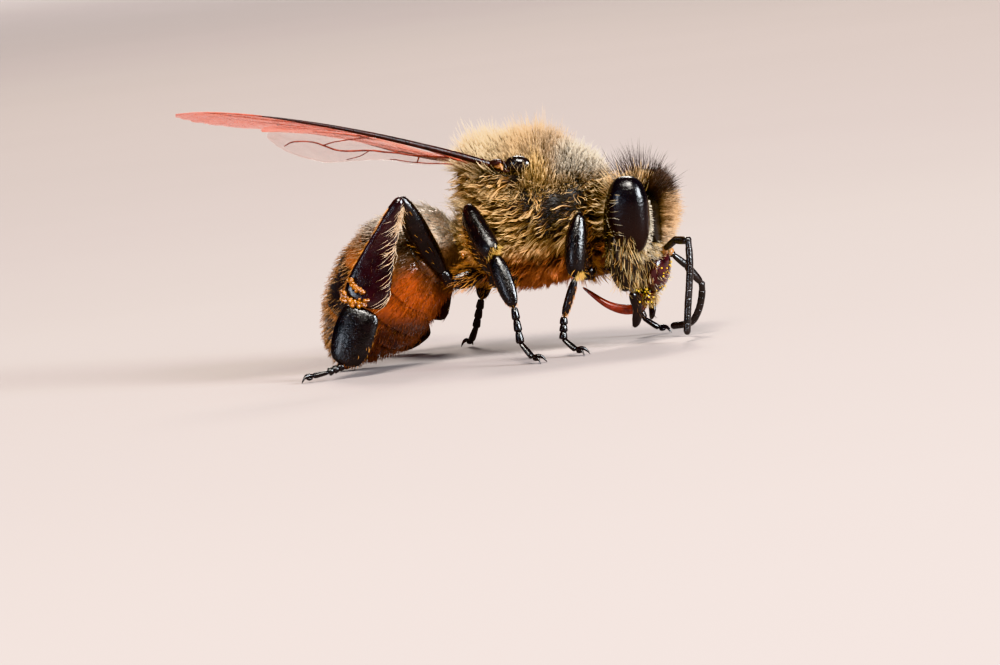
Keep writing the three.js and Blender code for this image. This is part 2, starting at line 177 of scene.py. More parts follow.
# Shell grain: fine pits and a soft unevenness in the polish, used on every hard piece.
shell_grain, given, result = new_group(
    "shell grain",
    {
        "Pit Scale": ("NodeSocketFloat", 18000.0),
        "Pit Depth": ("NodeSocketFloat", 0.3),
        "Polish": ("NodeSocketFloat", 0.16),
        "Dullness": ("NodeSocketFloat", 0.42),
    },
    {"Roughness": "NodeSocketFloat", "Normal": "NodeSocketVector"})
place = add_node(shell_grain, "ShaderNodeTexCoord").outputs["Object"]
pits = add_node(shell_grain, "ShaderNodeTexNoise", Vector=place, Detail=3.0,
                Scale=given.outputs["Pit Scale"])
clouds = add_node(shell_grain, "ShaderNodeTexNoise", Vector=place, Scale=3500.0, Detail=4.0)
rough = add_node(shell_grain, "ShaderNodeMapRange", Value=clouds.outputs["Fac"], at1=0.35, at2=0.7,
                 at3=given.outputs["Polish"], at4=given.outputs["Dullness"])
bump = add_node(shell_grain, "ShaderNodeBump", Height=pits.outputs["Fac"], Distance=0.00002,
                Strength=given.outputs["Pit Depth"])
shell_grain.links.new(rough.outputs["Result"], result.inputs["Roughness"])
shell_grain.links.new(bump.outputs["Normal"], result.inputs["Normal"])

# Mottle: two colours that drift into each other in soft clouds.
mottle, given, result = new_group(
    "mottle",
    {
        "Light": ("NodeSocketColor", (1, 1, 1, 1)),
        "Dark": ("NodeSocketColor", (0, 0, 0, 1)),
        "Scale": ("NodeSocketFloat", 2500.0),
    },
    {"Color": "NodeSocketColor"})
place = add_node(mottle, "ShaderNodeTexCoord").outputs["Object"]
clouds = add_node(mottle, "ShaderNodeTexNoise", Vector=place, Detail=5.0,
                  Scale=given.outputs["Scale"])
share = add_node(mottle, "ShaderNodeMapRange", Value=clouds.outputs["Fac"], at1=0.36, at2=0.64)
blend = add_node(mottle, "ShaderNodeMix", {"data_type": "RGBA"}, at0=share.outputs["Result"],
                 at6=given.outputs["Dark"], at7=given.outputs["Light"])
mottle.links.new(blend.outputs[2], result.inputs["Color"])


def use_group(tree, group, **inputs):
    """Places a node group in a material; underscores stand for the spaces in its input names."""
    named = {socket.replace("_", " "): value for socket, value in inputs.items()}
    return add_node(tree, "ShaderNodeGroup", {"node_tree": group}, **named).outputs


def shell_finish(name, light, dark, polish, dullness, pit_depth=0.3, scale=2500.0, **constants):
    """Hard polished shell in two near colours."""
    material, tree, shader = new_finish(name, **constants)
    tint = use_group(tree, mottle, Light=paint(*light), Dark=paint(*dark), Scale=scale)
    grain = use_group(tree, shell_grain, Pit_Depth=pit_depth, Polish=polish, Dullness=dullness)
    feed(tree, shader, Base_Color=tint["Color"], Roughness=grain["Roughness"], Normal=grain["Normal"])
    return material


def marked_and_shaded_finish(name, polish, dullness, pit_depth, **constants):
    """Shell or hair whose colour, with any painted shade, is laid on the mesh as its marking, drifting a
    little in clouds.
    """
    material, tree, shader = new_finish(name, **constants)
    marking_and_shade = add_node(tree, "ShaderNodeAttribute", {"attribute_name": "marking_and_shade"}).outputs["Color"]
    drift = use_group(tree, mottle, Light=(1.0, 1.0, 1.0, 1.0), Dark=(0.72, 0.7, 0.68, 1.0),
                      Scale=9000.0)
    tinted = add_node(tree, "ShaderNodeMix", {"data_type": "RGBA", "blend_type": "MULTIPLY"},
                      at0=1.0, at6=marking_and_shade, at7=drift["Color"])
    grain = use_group(tree, shell_grain, Pit_Depth=pit_depth, Polish=polish, Dullness=dullness)
    feed(tree, shader, Base_Color=tinted.outputs[2], Roughness=grain["Roughness"],
         Normal=grain["Normal"])
    return material


BODY_SHELL = marked_and_shaded_finish("dark body shell", 0.4, 0.65, 0.5, Specular_IOR_Level=0.15)
HAIR = marked_and_shaded_finish("branched body hair", 0.32, 0.52, 0.0, Specular_IOR_Level=0.35)

THORAX_LUMPS = {
    "scutum": ((0.05, 0, 4.28), (1.72, 1.8, 1.65), 0.1),
    "scutum_front": ((0.85, 0, 4.4), (1.28, 1.45, 1.28), 0.0),
    "saddle": ((-0.62, 0, 5.12), (0.85, 1.2, 0.84), 0.0),
    "scutellum": ((-1.2, 0, 5.1), (0.78, 1.12, 0.82), -0.1),
    "propodeum": ((-1.4, 0, 3.85), (0.56, 1.15, 1.05), 0.2),
    "pronotum": ((1.3, 0, 4.1), (0.7, 1.3, 1.15), 0.0),
    "breast": ((0.0, 0, 3.05), (1.5, 1.1, 0.8), 0.0),
    "breast_front": ((1.5, 0, 3.15), (0.6, 0.85, 0.62), 0.0),
    "neck": ((2.05, 0, 3.75), (0.4, 0.42, 0.42), 0.0),
    "waist": ((-2.0, 0, 3.45), (0.4, 0.36, 0.36), 0.4),
}
lumps = [lump(*sizes) for sizes in THORAX_LUMPS.values()]
for side in SIDES.values():  # the ledge that each pair of wings is hinged on
    lumps.append(lump((-0.5, side * 1.6, 5.2), (0.6, 0.22, 0.3), 0.1))
thorax = run_together("thorax_shell", lumps, voxel=0.075, smoothing=6)

# ---- Coat of the thorax -----------------------------------------------------------------------
# Branched hairs, each a thread of shell set in its own socket. They stand up like fur on the back
# and hang back in long wavy locks on the sides. Each is a three-sided spike rooted in the skin.

PATCH = 0.003  # how much of the coat's unwrap each hair takes
ROOT_DEPTH = 0.03  # how deep a hair is set in the skin
LAST_RING = 0.78  # where along a hair its point begins
THINNING = 0.55  # how much of its gauge a hair loses on the way there
WAVE_TURNS = 8.5  # how fast a wavy hair swings, in radians over its length
SHADE_WARMTH = np.array((0.82, 1.0, 1.25))  # the painted shade towards a hair's root grows redder as it grows darker
FLOOR_GAP = 0.003  # the lowest that a hair may hang
HANDFUL = 2000  # how many places are compared at a time, to spare memory


def unit(vectors):
    """Each row drawn to a length of one."""
    return vectors / np.maximum(np.linalg.norm(vectors, axis=-1, keepdims=True), 1e-9)


def ramp(values, low, high):
    """Rises softly from 0 at low to 1 at high."""
    share = np.clip((values - low) / (high - low), 0, 1)
    return share * share * (3 - 2 * share)


def near(places, centre, reach):
    """One at a centre, falling softly to nothing at its reach in each direction."""
    away = np.linalg.norm((places - np.array(centre)) / np.array(reach), axis=-1)
    return 1 - ramp(away, 0.55, 1.0)


def mesh_numbers(piece):
    """The vertices, their normals and the triangles of a piece, as arrays."""
    mesh = piece.data
    mesh.calc_loop_triangles()
    triangles = np.empty(len(mesh.loop_triangles) * 3, np.int32)
    mesh.loop_triangles.foreach_get("vertices", triangles)
    places = np.empty(len(mesh.vertices) * 3, np.float32)
    mesh.vertices.foreach_get("co", places)
    normals = np.empty(len(mesh.vertices) * 3, np.float32)
    mesh.vertex_normals.foreach_get("vector", normals)
    return places.reshape(-1, 3), normals.reshape(-1, 3), triangles.reshape(-1, 3)


def plant(piece, count, growth, dice):
    """Picks roots all over a piece, more of them where growth(places, normals) is larger."""
    places, normals, triangles = mesh_numbers(piece)
    corners = places[triangles].astype(float)
    facing = normals[triangles].astype(float)
    edges = corners[:, 1:] - corners[:, :1]
    area = np.linalg.norm(np.cross(edges[:, 0], edges[:, 1]), axis=1)
    weight = area * growth(corners.mean(1), facing.mean(1))
    chosen = dice.choice(len(weight), count, p=weight / weight.sum())
    share = dice.random((count, 2))
    folded = share.sum(1) > 1
    share[folded] = 1 - share[folded]
    mix = np.column_stack([1 - share.sum(1), share])[:, :, None]
    return (corners[chosen] * mix).sum(1), unit((facing[chosen] * mix).sum(1))


def gather_in_locks(roots, reach, spacing, strength):
    """How each hair's tip bends to draw together with its neighbours' into a lock, and which lock."""
    cells = np.floor(roots / spacing).astype(int)
    order = np.unique(cells, axis=0, return_index=True)[1]
    leaders = roots[order]
    tips = roots + reach
    nearest = np.empty(len(roots), int)
    for first in range(0, len(roots), HANDFUL):
        part = roots[first:first + HANDFUL]
        away = ((part[:, None, :] - leaders[None]) ** 2).sum(-1)
        nearest[first:first + HANDFUL] = away.argmin(1)
    return (tips[order][nearest] - tips) * strength, nearest


def strands(roots, aims, lengths, bends, gauge, colours, spots, rings, dice, waves=None,
            brightening=1.2):
    """Hairs as arrays: three-sided, tapered to a point and bent along their length. Waves, if any,
    hold how far each swings out, and where in its swing it starts."""
    count = len(roots)
    across = unit(np.cross(aims, (0.31, 0.52, 0.79)))
    beside = np.cross(aims, across)
    turn = dice.random(count) * 2 * math.pi
    reach = aims * lengths[:, None]
    sink = aims * ROOT_DEPTH
    places, shades, patches = [], [], []
    root_shade, tip_shade = colours
    swing, phase = waves if waves else (np.zeros(roots.shape), np.zeros(count))

    def middle_at(step):
        """Where the middle of each hair lies at a share of its length."""
        swung = np.sin(phase + WAVE_TURNS * step) - np.sin(phase)
        return roots - sink * (1 - step) + reach * step + bends * step ** 2 + swing * swung[:, None]

    for step in np.linspace(0, LAST_RING, rings):
        for corner in range(3):
            angle = turn + corner * 2 * math.pi / 3
            out = across * np.cos(angle)[:, None] + beside * np.sin(angle)[:, None]
            places.append(middle_at(step) + out * gauge * (1 - THINNING * step))
            # Painted shade: each hair is darker towards its root, where the depth of the coat lies in
            # shade.
            shades.append(root_shade + (tip_shade - root_shade) * step ** (brightening * SHADE_WARMTH))
            patches.append(spots + PATCH * np.array((corner / 2, step)))
    places.append(middle_at(1.0))
    shades.append(tip_shade)
    patches.append(spots + PATCH * np.array((0.5, 1.0)))
    faces = [(0, 2, 1)]
    for ring in range(rings - 1):
        for corner in range(3):
            low, beyond = 3 * ring + corner, 3 * ring + (corner + 1) % 3
            faces += [(low, beyond, beyond + 3), (low, beyond + 3, low + 3)]
    last = 3 * (rings - 1)
    faces += [(last + corner, last + (corner + 1) % 3, 3 * rings) for corner in range(3)]
    corners = 3 * rings + 1
    triangles = np.array(faces)[None] + corners * np.arange(count)[:, None, None]
    return (np.stack(places, 1).reshape(-1, 3), triangles.reshape(-1, 3),
            np.stack(shades, 1).reshape(-1, 3), np.stack(patches, 1).reshape(-1, 2))


def coat(skin, count, where, comb, unwrap, dice, gauge=0.0125, rings=3, loose=0.14, lock=0.18,
         drawn=0.3, root_shade=0.45, curl=0.1, tone=(0.72, 1.1), wave=0.0, brightening=1.2):
    """One layer of hair. where(places, facing) says how thickly it stands, and comb(places, facing)
    how it leans, how far it stands off, its length and its colour. Neighbours within a lock's size
    are drawn together at the tip and share one tone."""
    roots, facing = plant(skin, count, where, dice)
    lean, stand, length, colours = comb(roots, facing)
    aims = unit(facing * np.broadcast_to(stand, count)[:, None] + lean
                + dice.normal(0, loose, roots.shape))
    length = length * dice.uniform(0.6, 1.15, count)
    x, z = roots[:, 0], roots[:, 2]
    drift = np.column_stack([np.sin(2.9 * z + 1.7 * x), 0.4 * np.cos(3.3 * x),
                             np.sin(3.7 * x + 2.1 * z + 1.0)])
    bends = (drift + dice.normal(0, 0.6, roots.shape)) * curl * length[:, None]
    drawing, which = gather_in_locks(roots, aims * length[:, None] + bends, lock, drawn)
    tones = dice.uniform(*tone, which.max() + 1)[which][:, None]
    phases = dice.uniform(0, 2 * math.pi, which.max() + 1)[which]
    colours = colours * tones * dice.uniform(0.8, 1.12, (count, 1))
    swing = unit(np.cross(aims, facing)) * wave
    # Each hair runs from painted shade at its root to its own colour at its tip.
    return strands(roots, aims, length, bends + drawing, gauge, (colours * root_shade, colours),
                   unwrap(roots), rings, dice, (swing, phases), brightening)


def lay_marking_and_shade(mesh, colours):
    """Gives a mesh its marking, with any painted shade in it: one colour at each vertex."""
    marking_and_shade = mesh.attributes.new("marking_and_shade", "FLOAT_COLOR", "POINT")
    opaque = np.column_stack([colours, np.ones(len(colours))])
    marking_and_shade.data.foreach_set("color", opaque.astype(np.float32).ravel())


def weave(name, batches):
    """Makes one mesh of several batches of hairs, with its marking and painted shade, and its unwrap."""
    batch_places, batch_triangles, batch_shades, batch_patches = zip(*batches)
    starts = np.cumsum([0] + [len(part) for part in batch_places])
    places, shades, patches = map(np.concatenate, (batch_places, batch_shades, batch_patches))
    triangles = np.concatenate([part + start for part, start in zip(batch_triangles, starts)])
    places[:, 2] = np.maximum(places[:, 2], FLOOR_GAP)
    mesh = bpy.data.meshes.new(name)
    mesh.vertices.add(len(places))
    mesh.vertices.foreach_set("co", places.astype(np.float32).ravel())
    mesh.loops.add(triangles.size)
    mesh.loops.foreach_set("vertex_index", triangles.astype(np.int32).ravel())
    mesh.polygons.add(len(triangles))
    mesh.polygons.foreach_set("loop_start", np.arange(0, triangles.size, 3, dtype=np.int32))
    mesh.polygons.foreach_set("use_smooth", np.ones(len(triangles), bool))
    lay_marking_and_shade(mesh, shades)
    unwrap = mesh.uv_layers.new(name="OFBake")
    unwrap.data.foreach_set("uv", patches[triangles.ravel()].astype(np.float32).ravel())
    mesh.update(calc_edges=True)
    mesh.materials.append(HAIR)
    piece = bpy.data.objects.new(name, mesh)
    bpy.context.scene.collection.objects.link(piece)
    return piece


def ball_unwrap(centre):
    """An unwrap of a rounded body: round it, and from pole to pole."""

    def unwrap(roots):
        out = unit(roots - np.array(centre))
        round_it = np.arctan2(out[:, 1], out[:, 0]) / (2 * math.pi) + 0.5
        pole_to_pole = np.arcsin(np.clip(out[:, 2], -1, 1)) / math.pi + 0.5
        return 0.005 + 0.985 * np.column_stack([round_it, pole_to_pole])

    return unwrap


def stain(piece, marking_and_shade, shade):
    """Lays a marking, with any painted light and shade in it, on a skin, darkened to the colour of the
    shell under the hair.
    """
    places, normals, _ = mesh_numbers(piece)
    lay_marking_and_shade(piece.data, marking_and_shade(places.astype(float), normals.astype(float)) * shade)


def lay_colours(base, layers):
    """Lays colours over a base one, each by its own share at every place."""
    colours = np.tile(np.array(paint(*base)[:3]), (len(layers[0][0]), 1))
    for share, colour in layers:
        colours += (np.array(paint(*colour)[:3]) - colours) * share[:, None]
    return colours


def both_sides(places):
    """The places counted outwards from the middle plane, so that one rule serves both sides."""
    return places * (1, 0, 1) + np.abs(places) * (0, 1, 0)


CREAM, GOLDEN, OCHRE = (255, 230, 190), (255, 216, 160), (255, 214, 150)
SILVER, GREY_BROWN, RUSSET = (216, 204, 186), (178, 150, 122), (214, 116, 58)
BARE_SPOTS = [  # places with few hairs: the notch behind the collar, and the wing root
    ((1.3, 1.5, 4.46), (0.38, 0.8, 0.2)),
    ((-0.3, 1.75, 5.5), (0.6, 0.4, 0.24)),
]
OCHRE_BAND = ((0.5, 1.7, 4.85), (0.34, 1.2, 0.85))


def thorax_marking(places, facing):
    """Cream on the back, silver on the shoulders, golden sides and a russet underside."""
    x, z = places[:, 0], places[:, 2]
    side = 1 - ramp(facing[:, 2], 0.1, 0.6)
    return lay_colours(CREAM, [
        (ramp(x, -0.9, 0.1) * (1 - side), (236, 200, 154)),
        (ramp(x, -0.1, 0.7) * (1 - side) * 0.8, GREY_BROWN),
        (ramp(x, 0.7, 1.3) * ramp(z, 4.7, 5.1), SILVER),
        (side * (1 - ramp(x, 1.5, 1.8)), GOLDEN),
        (near(both_sides(places), *OCHRE_BAND), OCHRE),
        (ramp(-z, -3.5, -2.8) * 0.9, RUSSET),
    ])


def bareness(places):
    """How bare the shell is at each place, from 0 to 1, the same on both sides."""
    return np.max([near(both_sides(places), *spot) for spot in BARE_SPOTS], axis=0)


def comb_back(places, facing):
    """Stands straight up, longest over the scutellum at the rear."""
    x = places[:, 0]
    lean = np.column_stack([-0.3 + 0.35 * ramp(x, -0.8, 0.6), 0 * x, 0.2 + 0 * x])
    length = (0.68 - 0.28 * ramp(x, 0.2, 1.5)) * (1 - 0.6 * bareness(places))
    return lean, 1.0, length, thorax_marking(places, facing)


def comb_guard(places, facing):
    """The longest single hairs, that stand out beyond the rest of the back's fur."""
    lean, stand, length, colours = comb_back(places, facing)
    return lean, stand, 1.4 * length, colours


def comb_side(places, facing):
    """Sweeps back in wavy locks, down in the ochre band, and forward on the collar."""
    x, z = places[:, 0], places[:, 2]
    under = ramp(-z, -4.2, -2.9)
    collar = ramp(x, 1.5, 1.75)
    band = near(both_sides(places), *OCHRE_BAND)
    sweep = (-1.1 + 0.15 * under) * (1 - collar) * (1 - 0.8 * band) + 0.75 * collar
    fall = (-0.15 - 0.4 * under) * (1 - collar) - 1.1 * band
    length = 0.66 - 0.2 * collar - 0.2 * band - 0.2 * ramp(-x, 0.9, 1.6)
    return (np.column_stack([sweep, 0 * x, fall]), 0.34 + 0.5 * collar,
            length * (1 - 0.7 * bareness(places)), thorax_marking(places, facing))


def comb_shade_undercoat(places, facing):
    """Short hair close to the shell, seen between the side's pale locks, made dark as painted shade."""
    lean, _, length, _ = comb_side(places, facing)
    colours = lay_colours((44, 26, 14), [(dice.random(len(places)), (16, 10, 8))])
    return lean, 0.5, 0.45 * length, colours


def comb_under(places, facing):
    """Hangs loosely down and back."""
    return (np.array((-0.75, 0, -0.4)), 0.6, np.full(len(places), 0.6),
            thorax_marking(places, facing))


def comb_pile(places, facing):
    """Short upright velvet on the shoulders, a little darker than the fur over it as painted shade."""
    length = 0.2 * (1 - 0.6 * bareness(places))
    # The fifth taken off its colour is painted shade under the longer fur.
    return np.array((0.0, 0, 0.1)), 1.0, length, thorax_marking(places, facing) * 0.8


def full_back(places, facing):
    """Where the back's fur grows: all that faces up, but for the bare spots."""
    return ramp(facing[:, 2], 0.28, 0.4) * (1 - 0.9 * bareness(places))


def full_side(places, facing):
    """Where the side's locks grow: all that faces neither up nor down, but for the bare spots."""
    return (1 - ramp(np.abs(facing[:, 2] + 0.17), 0.55, 0.64)) * (1 - 0.88 * bareness(places))


def thorax_layer(count, where, comb, **style):
    """One layer of hair rooted in the thorax."""
    return coat(thorax, count, where, comb, thorax_unwrap, dice, **style)


stain(thorax, thorax_marking, 0.01)
thorax.data.materials.append(BODY_SHELL)
thorax_unwrap = ball_unwrap(THORAX_LUMPS["scutum"][0])
dice = np.random.default_rng(11)
thorax_coats = [
    weave("thorax_coat_back", [
        thorax_layer(7000, full_back, comb_back, gauge=0.0082, loose=0.12, lock=0.1, drawn=0.4,
                     root_shade=0.12, tone=(0.45, 1.3), brightening=1.4),
        thorax_layer(1100, full_back, comb_guard, gauge=0.0065, loose=0.24, drawn=0.1,
                     root_shade=0.4),
    ]),
    weave("thorax_pile", [
        thorax_layer(13000, lambda p, n: ramp(n[:, 2], 0.05, 0.3) * (1 - bareness(p)), comb_pile,
                     gauge=0.0085, rings=2, loose=0.25, drawn=0.1, root_shade=0.35),
    ]),
    weave("thorax_coat_under", [
        thorax_layer(4600, lambda p, n: ramp(-n[:, 2], 0.56, 0.7), comb_under, gauge=0.011,
                     lock=0.18, drawn=0.7, root_shade=0.15, tone=(0.5, 1.2)),
    ]),
]
for side_name, side in SIDES.items():
    thorax_coats.append(weave(f"thorax_coat_{side_name}", [
        thorax_layer(2900, lambda p, n: (np.abs(n[:, 2] + 0.17) < 0.6) * (p[:, 1] * side > 0),
                     comb_shade_undercoat, gauge=0.012, loose=0.2, root_shade=0.05, tone=(0.3, 1.0)),
        thorax_layer(2600, lambda p, n: full_side(p, n) * (p[:, 1] * side > 0), comb_side,
                     gauge=0.0115, rings=8, loose=0.17, lock=0.14, drawn=0.94, root_shade=0.01,
                     curl=0.16, tone=(0.3, 1.9), wave=0.034, brightening=1.9),
    ]))
set_down(thorax, "thorax_coat", "thorax")
for piece in thorax_coats:
    set_down(piece, "thorax_coat", "thorax")

# ---- Head -------------------------------------------------------------------------------------
# A flat, heart-shaped capsule of black shell hung on the neck, with three simple eyes on the
# crown. The bulging clypeus below the feelers and the lip under it are plates of their own.

HEAD_PITCH = 0.14
HEAD_LUMPS = [
    ((2.98, 0, 3.45), (0.7, 1.5, 1.32), HEAD_PITCH),
    ((2.86, 0, 2.35), (0.52, 1.02, 0.98), HEAD_PITCH),
    ((3.28, 0, 3.08), (0.46, 0.95, 1.48), HEAD_PITCH),
    ((2.55, 0, 3.6), (0.42, 0.9, 0.9), 0.0),
    ((2.76, 1.14, 3.2), (0.54, 0.44, 1.62), 0.06),
    ((2.76, -1.14, 3.2), (0.54, 0.44, 1.62), 0.06),
]
head = run_together("head_shell", [lump(*sizes) for sizes in HEAD_LUMPS], voxel=0.05, smoothing=6)

MAROON_SHELL = shell_finish("maroon shell", (66, 16, 18), (20, 7, 8), 0.12, 0.28, 0.35,
                            Coat_Weight=0.3, Coat_Roughness=0.12)
BLACK_SHELL = shell_finish("black shell", (22, 16, 15), (8, 6, 6), 0.12, 0.3, 0.4)

CLYPEUS_MIDDLE, LABRUM_MIDDLE = (3.36, 0, 2.04), (3.06, 0, 1.32)
clypeus = settle(lump(CLYPEUS_MIDDLE, (0.37, 0.62, 0.66), 0.3, 24), "clypeus")
bpy.ops.object.shade_smooth()
clypeus.data.materials.append(MAROON_SHELL)
labrum = settle(lump(LABRUM_MIDDLE, (0.17, 0.42, 0.24), 0.5, 14), "labrum")
bpy.ops.object.shade_smooth()
labrum.data.materials.append(MAROON_SHELL)

SIMPLE_EYES = [(3.44, -0.3, 4.55), (3.44, 0.3, 4.55), (3.62, 0, 4.38)]
SIMPLE_EYE = shell_finish("simple eye", (52, 26, 14), (18, 9, 6), 0.05, 0.09, 0.0, Coat_Weight=1.0,
                          Coat_Roughness=0.03)
simple_eye = settle(lump((0, 0, 0), (0.1, 0.1, 0.1), 0, 10), "simple_eye")
simple_eye.data.materials.append(SIMPLE_EYE)


def copy_at(piece, name, matrix):
    """A copy with its own mesh, put where the matrix says."""
    copy = piece.copy()
    copy.data = piece.data.copy()
    copy.name = name
    bpy.context.scene.collection.objects.link(copy)
    copy.data.transform(matrix)
    return copy


simple_eyes = join("simple_eyes", [
    copy_at(simple_eye, "simple_eye_copy", Matrix.Translation(spot)) for spot in SIMPLE_EYES])
bpy.data.objects.remove(simple_eye)

# ---- Compound eyes ----------------------------------------------------------------------------
# A long bean of thousands of clear lenses down each side of the head, black-brown and glossy,
# and set in a dark rim. The lenses are too fine to see one by one; they only soften the gloss.

EYE_HALF = (0.61, 0.44, 1.1)
EYE_PITCH = 0.06
EYE_SQUARENESS = 2.5  # two would be a plain egg
EYE_REAR, EYE_LIFT = 0.11, 0.02  # how far the lenses' middle lies behind and above the solid's
eye_finish, tree, shader = new_finish("compound eye", Coat_Weight=0.2, Coat_Roughness=0.1, IOR=1.34)
place = add_node(tree, "ShaderNodeTexCoord").outputs["Object"]
lens = add_node(tree, "ShaderNodeTexVoronoi", {"feature": "F1"}, Vector=place, Scale=34000.0,
                Randomness=0.35)
swell = add_node(tree, "ShaderNodeTexNoise", Vector=place, Scale=13000.0, Detail=2.0)
uneven = add_node(tree, "ShaderNodeBump", Height=swell.outputs["Fac"], Strength=0.9,
                  Distance=0.00001)
dome = add_node(tree, "ShaderNodeBump", {"invert": True}, Height=lens.outputs["Distance"],
                Strength=0.35, Distance=0.00001, Normal=uneven.outputs["Normal"])
height = add_node(tree, "ShaderNodeSeparateXYZ", Vector=place).outputs["Z"]
lower = add_node(tree, "ShaderNodeMapRange", Value=height, at1=0.0022, at2=0.0042, at3=1.0, at4=0.0)
eye_colour = add_node(tree, "ShaderNodeMix", {"data_type": "RGBA"}, at0=lower.outputs["Result"],
                      at6=paint(7, 5, 6), at7=paint(22, 10, 6))
gloss = add_node(tree, "ShaderNodeMapRange", Value=lens.outputs["Distance"], at1=0.0, at2=0.7,
                 at3=0.14, at4=0.28)
feed(tree, shader, Base_Color=eye_colour.outputs[2], Roughness=gloss.outputs["Result"],
     Normal=dome.outputs["Normal"])

eyes = {}
for side_name, side in SIDES.items():
    spot = Vector((EYE_MIDDLE.x - EYE_REAR, side * abs(EYE_MIDDLE.y), EYE_MIDDLE.z + EYE_LIFT))
    eye = lump((0, 0, 0), (1, 1, 1), 0, 36)
    for vertex in eye.data.vertices:
        x, y, z = vertex.co
        fullness = sum(abs(part) ** EYE_SQUARENESS for part in (x, y, z)) ** (-1 / EYE_SQUARENESS)
        narrowing = 0.26 * max(0.0, -z) ** 1.4
        vertex.co = (1 - (1 - x * fullness) * (1 - narrowing), y * fullness * (1 - 0.12 * (1 - z)),
                     z * fullness)
    eye.data.transform(Matrix.Diagonal((*EYE_HALF, 1)))
    eye.data.transform(Matrix.Translation(spot) @ Matrix.Rotation(EYE_PITCH, 4, "Y"))
    eye = settle(eye, f"compound_eye_{side_name}")
    bpy.ops.object.shade_smooth()
    eye.data.materials.append(eye_finish)
    eyes[side_name] = eye

# ---- Coat of the head -------------------------------------------------------------------------
# Tan fur on the brow, a dark fan on the crown, pale hair behind it, a white line down the front
# of each eye and golden bristles on the black cheeks. The clypeus stays nearly bare.


def head_marking(places, facing):
    """Pale behind, dark brown on the crown, tan on the brow, golden on the cheeks."""
    x, y, z = both_sides(places).T
    return lay_colours((236, 196, 140), [
        (ramp(y, 0.6, 0.9) * (1 - ramp(z, 2.9, 3.3)), (240, 190, 100)),
        (ramp(x, 3.2, 3.5) * ramp(z, 4.0, 4.3), (64, 36, 22)),
    ])


def fan(places, centre):
    """Straight out from a centre, as a fan of hair spreads."""
    return unit(places - np.array(centre)) * (1, 0.6, 1)


def where_in(low, high, soft=0.08):
    """Grows hair inside a box on one side and in its mirror image, fading at the walls."""

    def where(places, facing):
        folded = both_sides(places)
        inside = np.minimum(ramp(folded, np.array(low) - soft, np.array(low) + soft),
                            1 - ramp(folded, np.array(high) - soft, np.array(high) + soft))
        return inside.min(1)

    return where


def plain_comb(lean, stand, length, base, second):
    """Hair of one length that leans one way, in a mix of two colours."""

    def comb(places, facing):
        colours = lay_colours(base, [(dice.random(len(places)), second)])
        return np.array(lean), stand, np.full(len(places), length), colours

    return comb


def comb_crown(places, facing):
    """Long single hairs, fanned over the crown, some dark and some pale."""
    dark = dice.random(len(places)) < 0.35 + 0.6 * ramp(places[:, 0], 2.5, 3.0)
    colours = lay_colours((248, 208, 150), [(dark * 1.0, (52, 34, 28))])
    return fan(places, (3.12, 0, 3.6)) * 1.6, 0.3, np.where(dark, 1.0, 0.55), colours


def comb_dark_fan(places, facing):
    """A thick dark brush that fans up and forward from between the simple eyes."""
    colours = lay_colours((30, 22, 20), [(dice.random(len(places)) ** 2, (96, 70, 52))])
    return (fan(places, (3.1, 0, 3.75)) * 1.4, 0.3, 0.72 * dice.uniform(0.55, 1.1, len(places)),
            colours)


def comb_brow(places, facing):
    """Soft tan fur that stands forward, longest at the top of the brow."""
    z = places[:, 2]
    colours = lay_colours((222, 178, 134), [
        (dice.random(len(z)) * (1 - ramp(z, 3.0, 3.6)), (240, 216, 190)),
        (ramp(z, 3.6, 4.1) * dice.random(len(z)), (84, 58, 44)),
        (dice.random(len(z)) * 0.4, (250, 206, 156)),
    ])
    lean = np.column_stack([1.0 + 0 * z, 0 * z, -0.35 + 0.5 * ramp(z, 3.0, 4.0)])
    length = (0.22 + 0.42 * ramp(z, 2.75, 3.8)) * dice.uniform(0.45, 1.15, len(z))
    return lean, 0.35, length, colours


WHITE, STRAW, GOLD = (250, 240, 222), (246, 214, 160), (246, 192, 96)
stain(head, head_marking, 0.004)
head.data.materials.append(marked_and_shaded_finish("head shell", 0.12, 0.28, 0.4, Coat_Weight=0.2,
                                         Coat_Roughness=0.15))
head_unwrap = ball_unwrap(HEAD_LUMPS[0][0])
dice = np.random.default_rng(21)


def head_layer(count, where, comb, **style):
    """One layer of hair rooted in the head."""
    return coat(head, count, where, comb, head_unwrap, dice, **style)


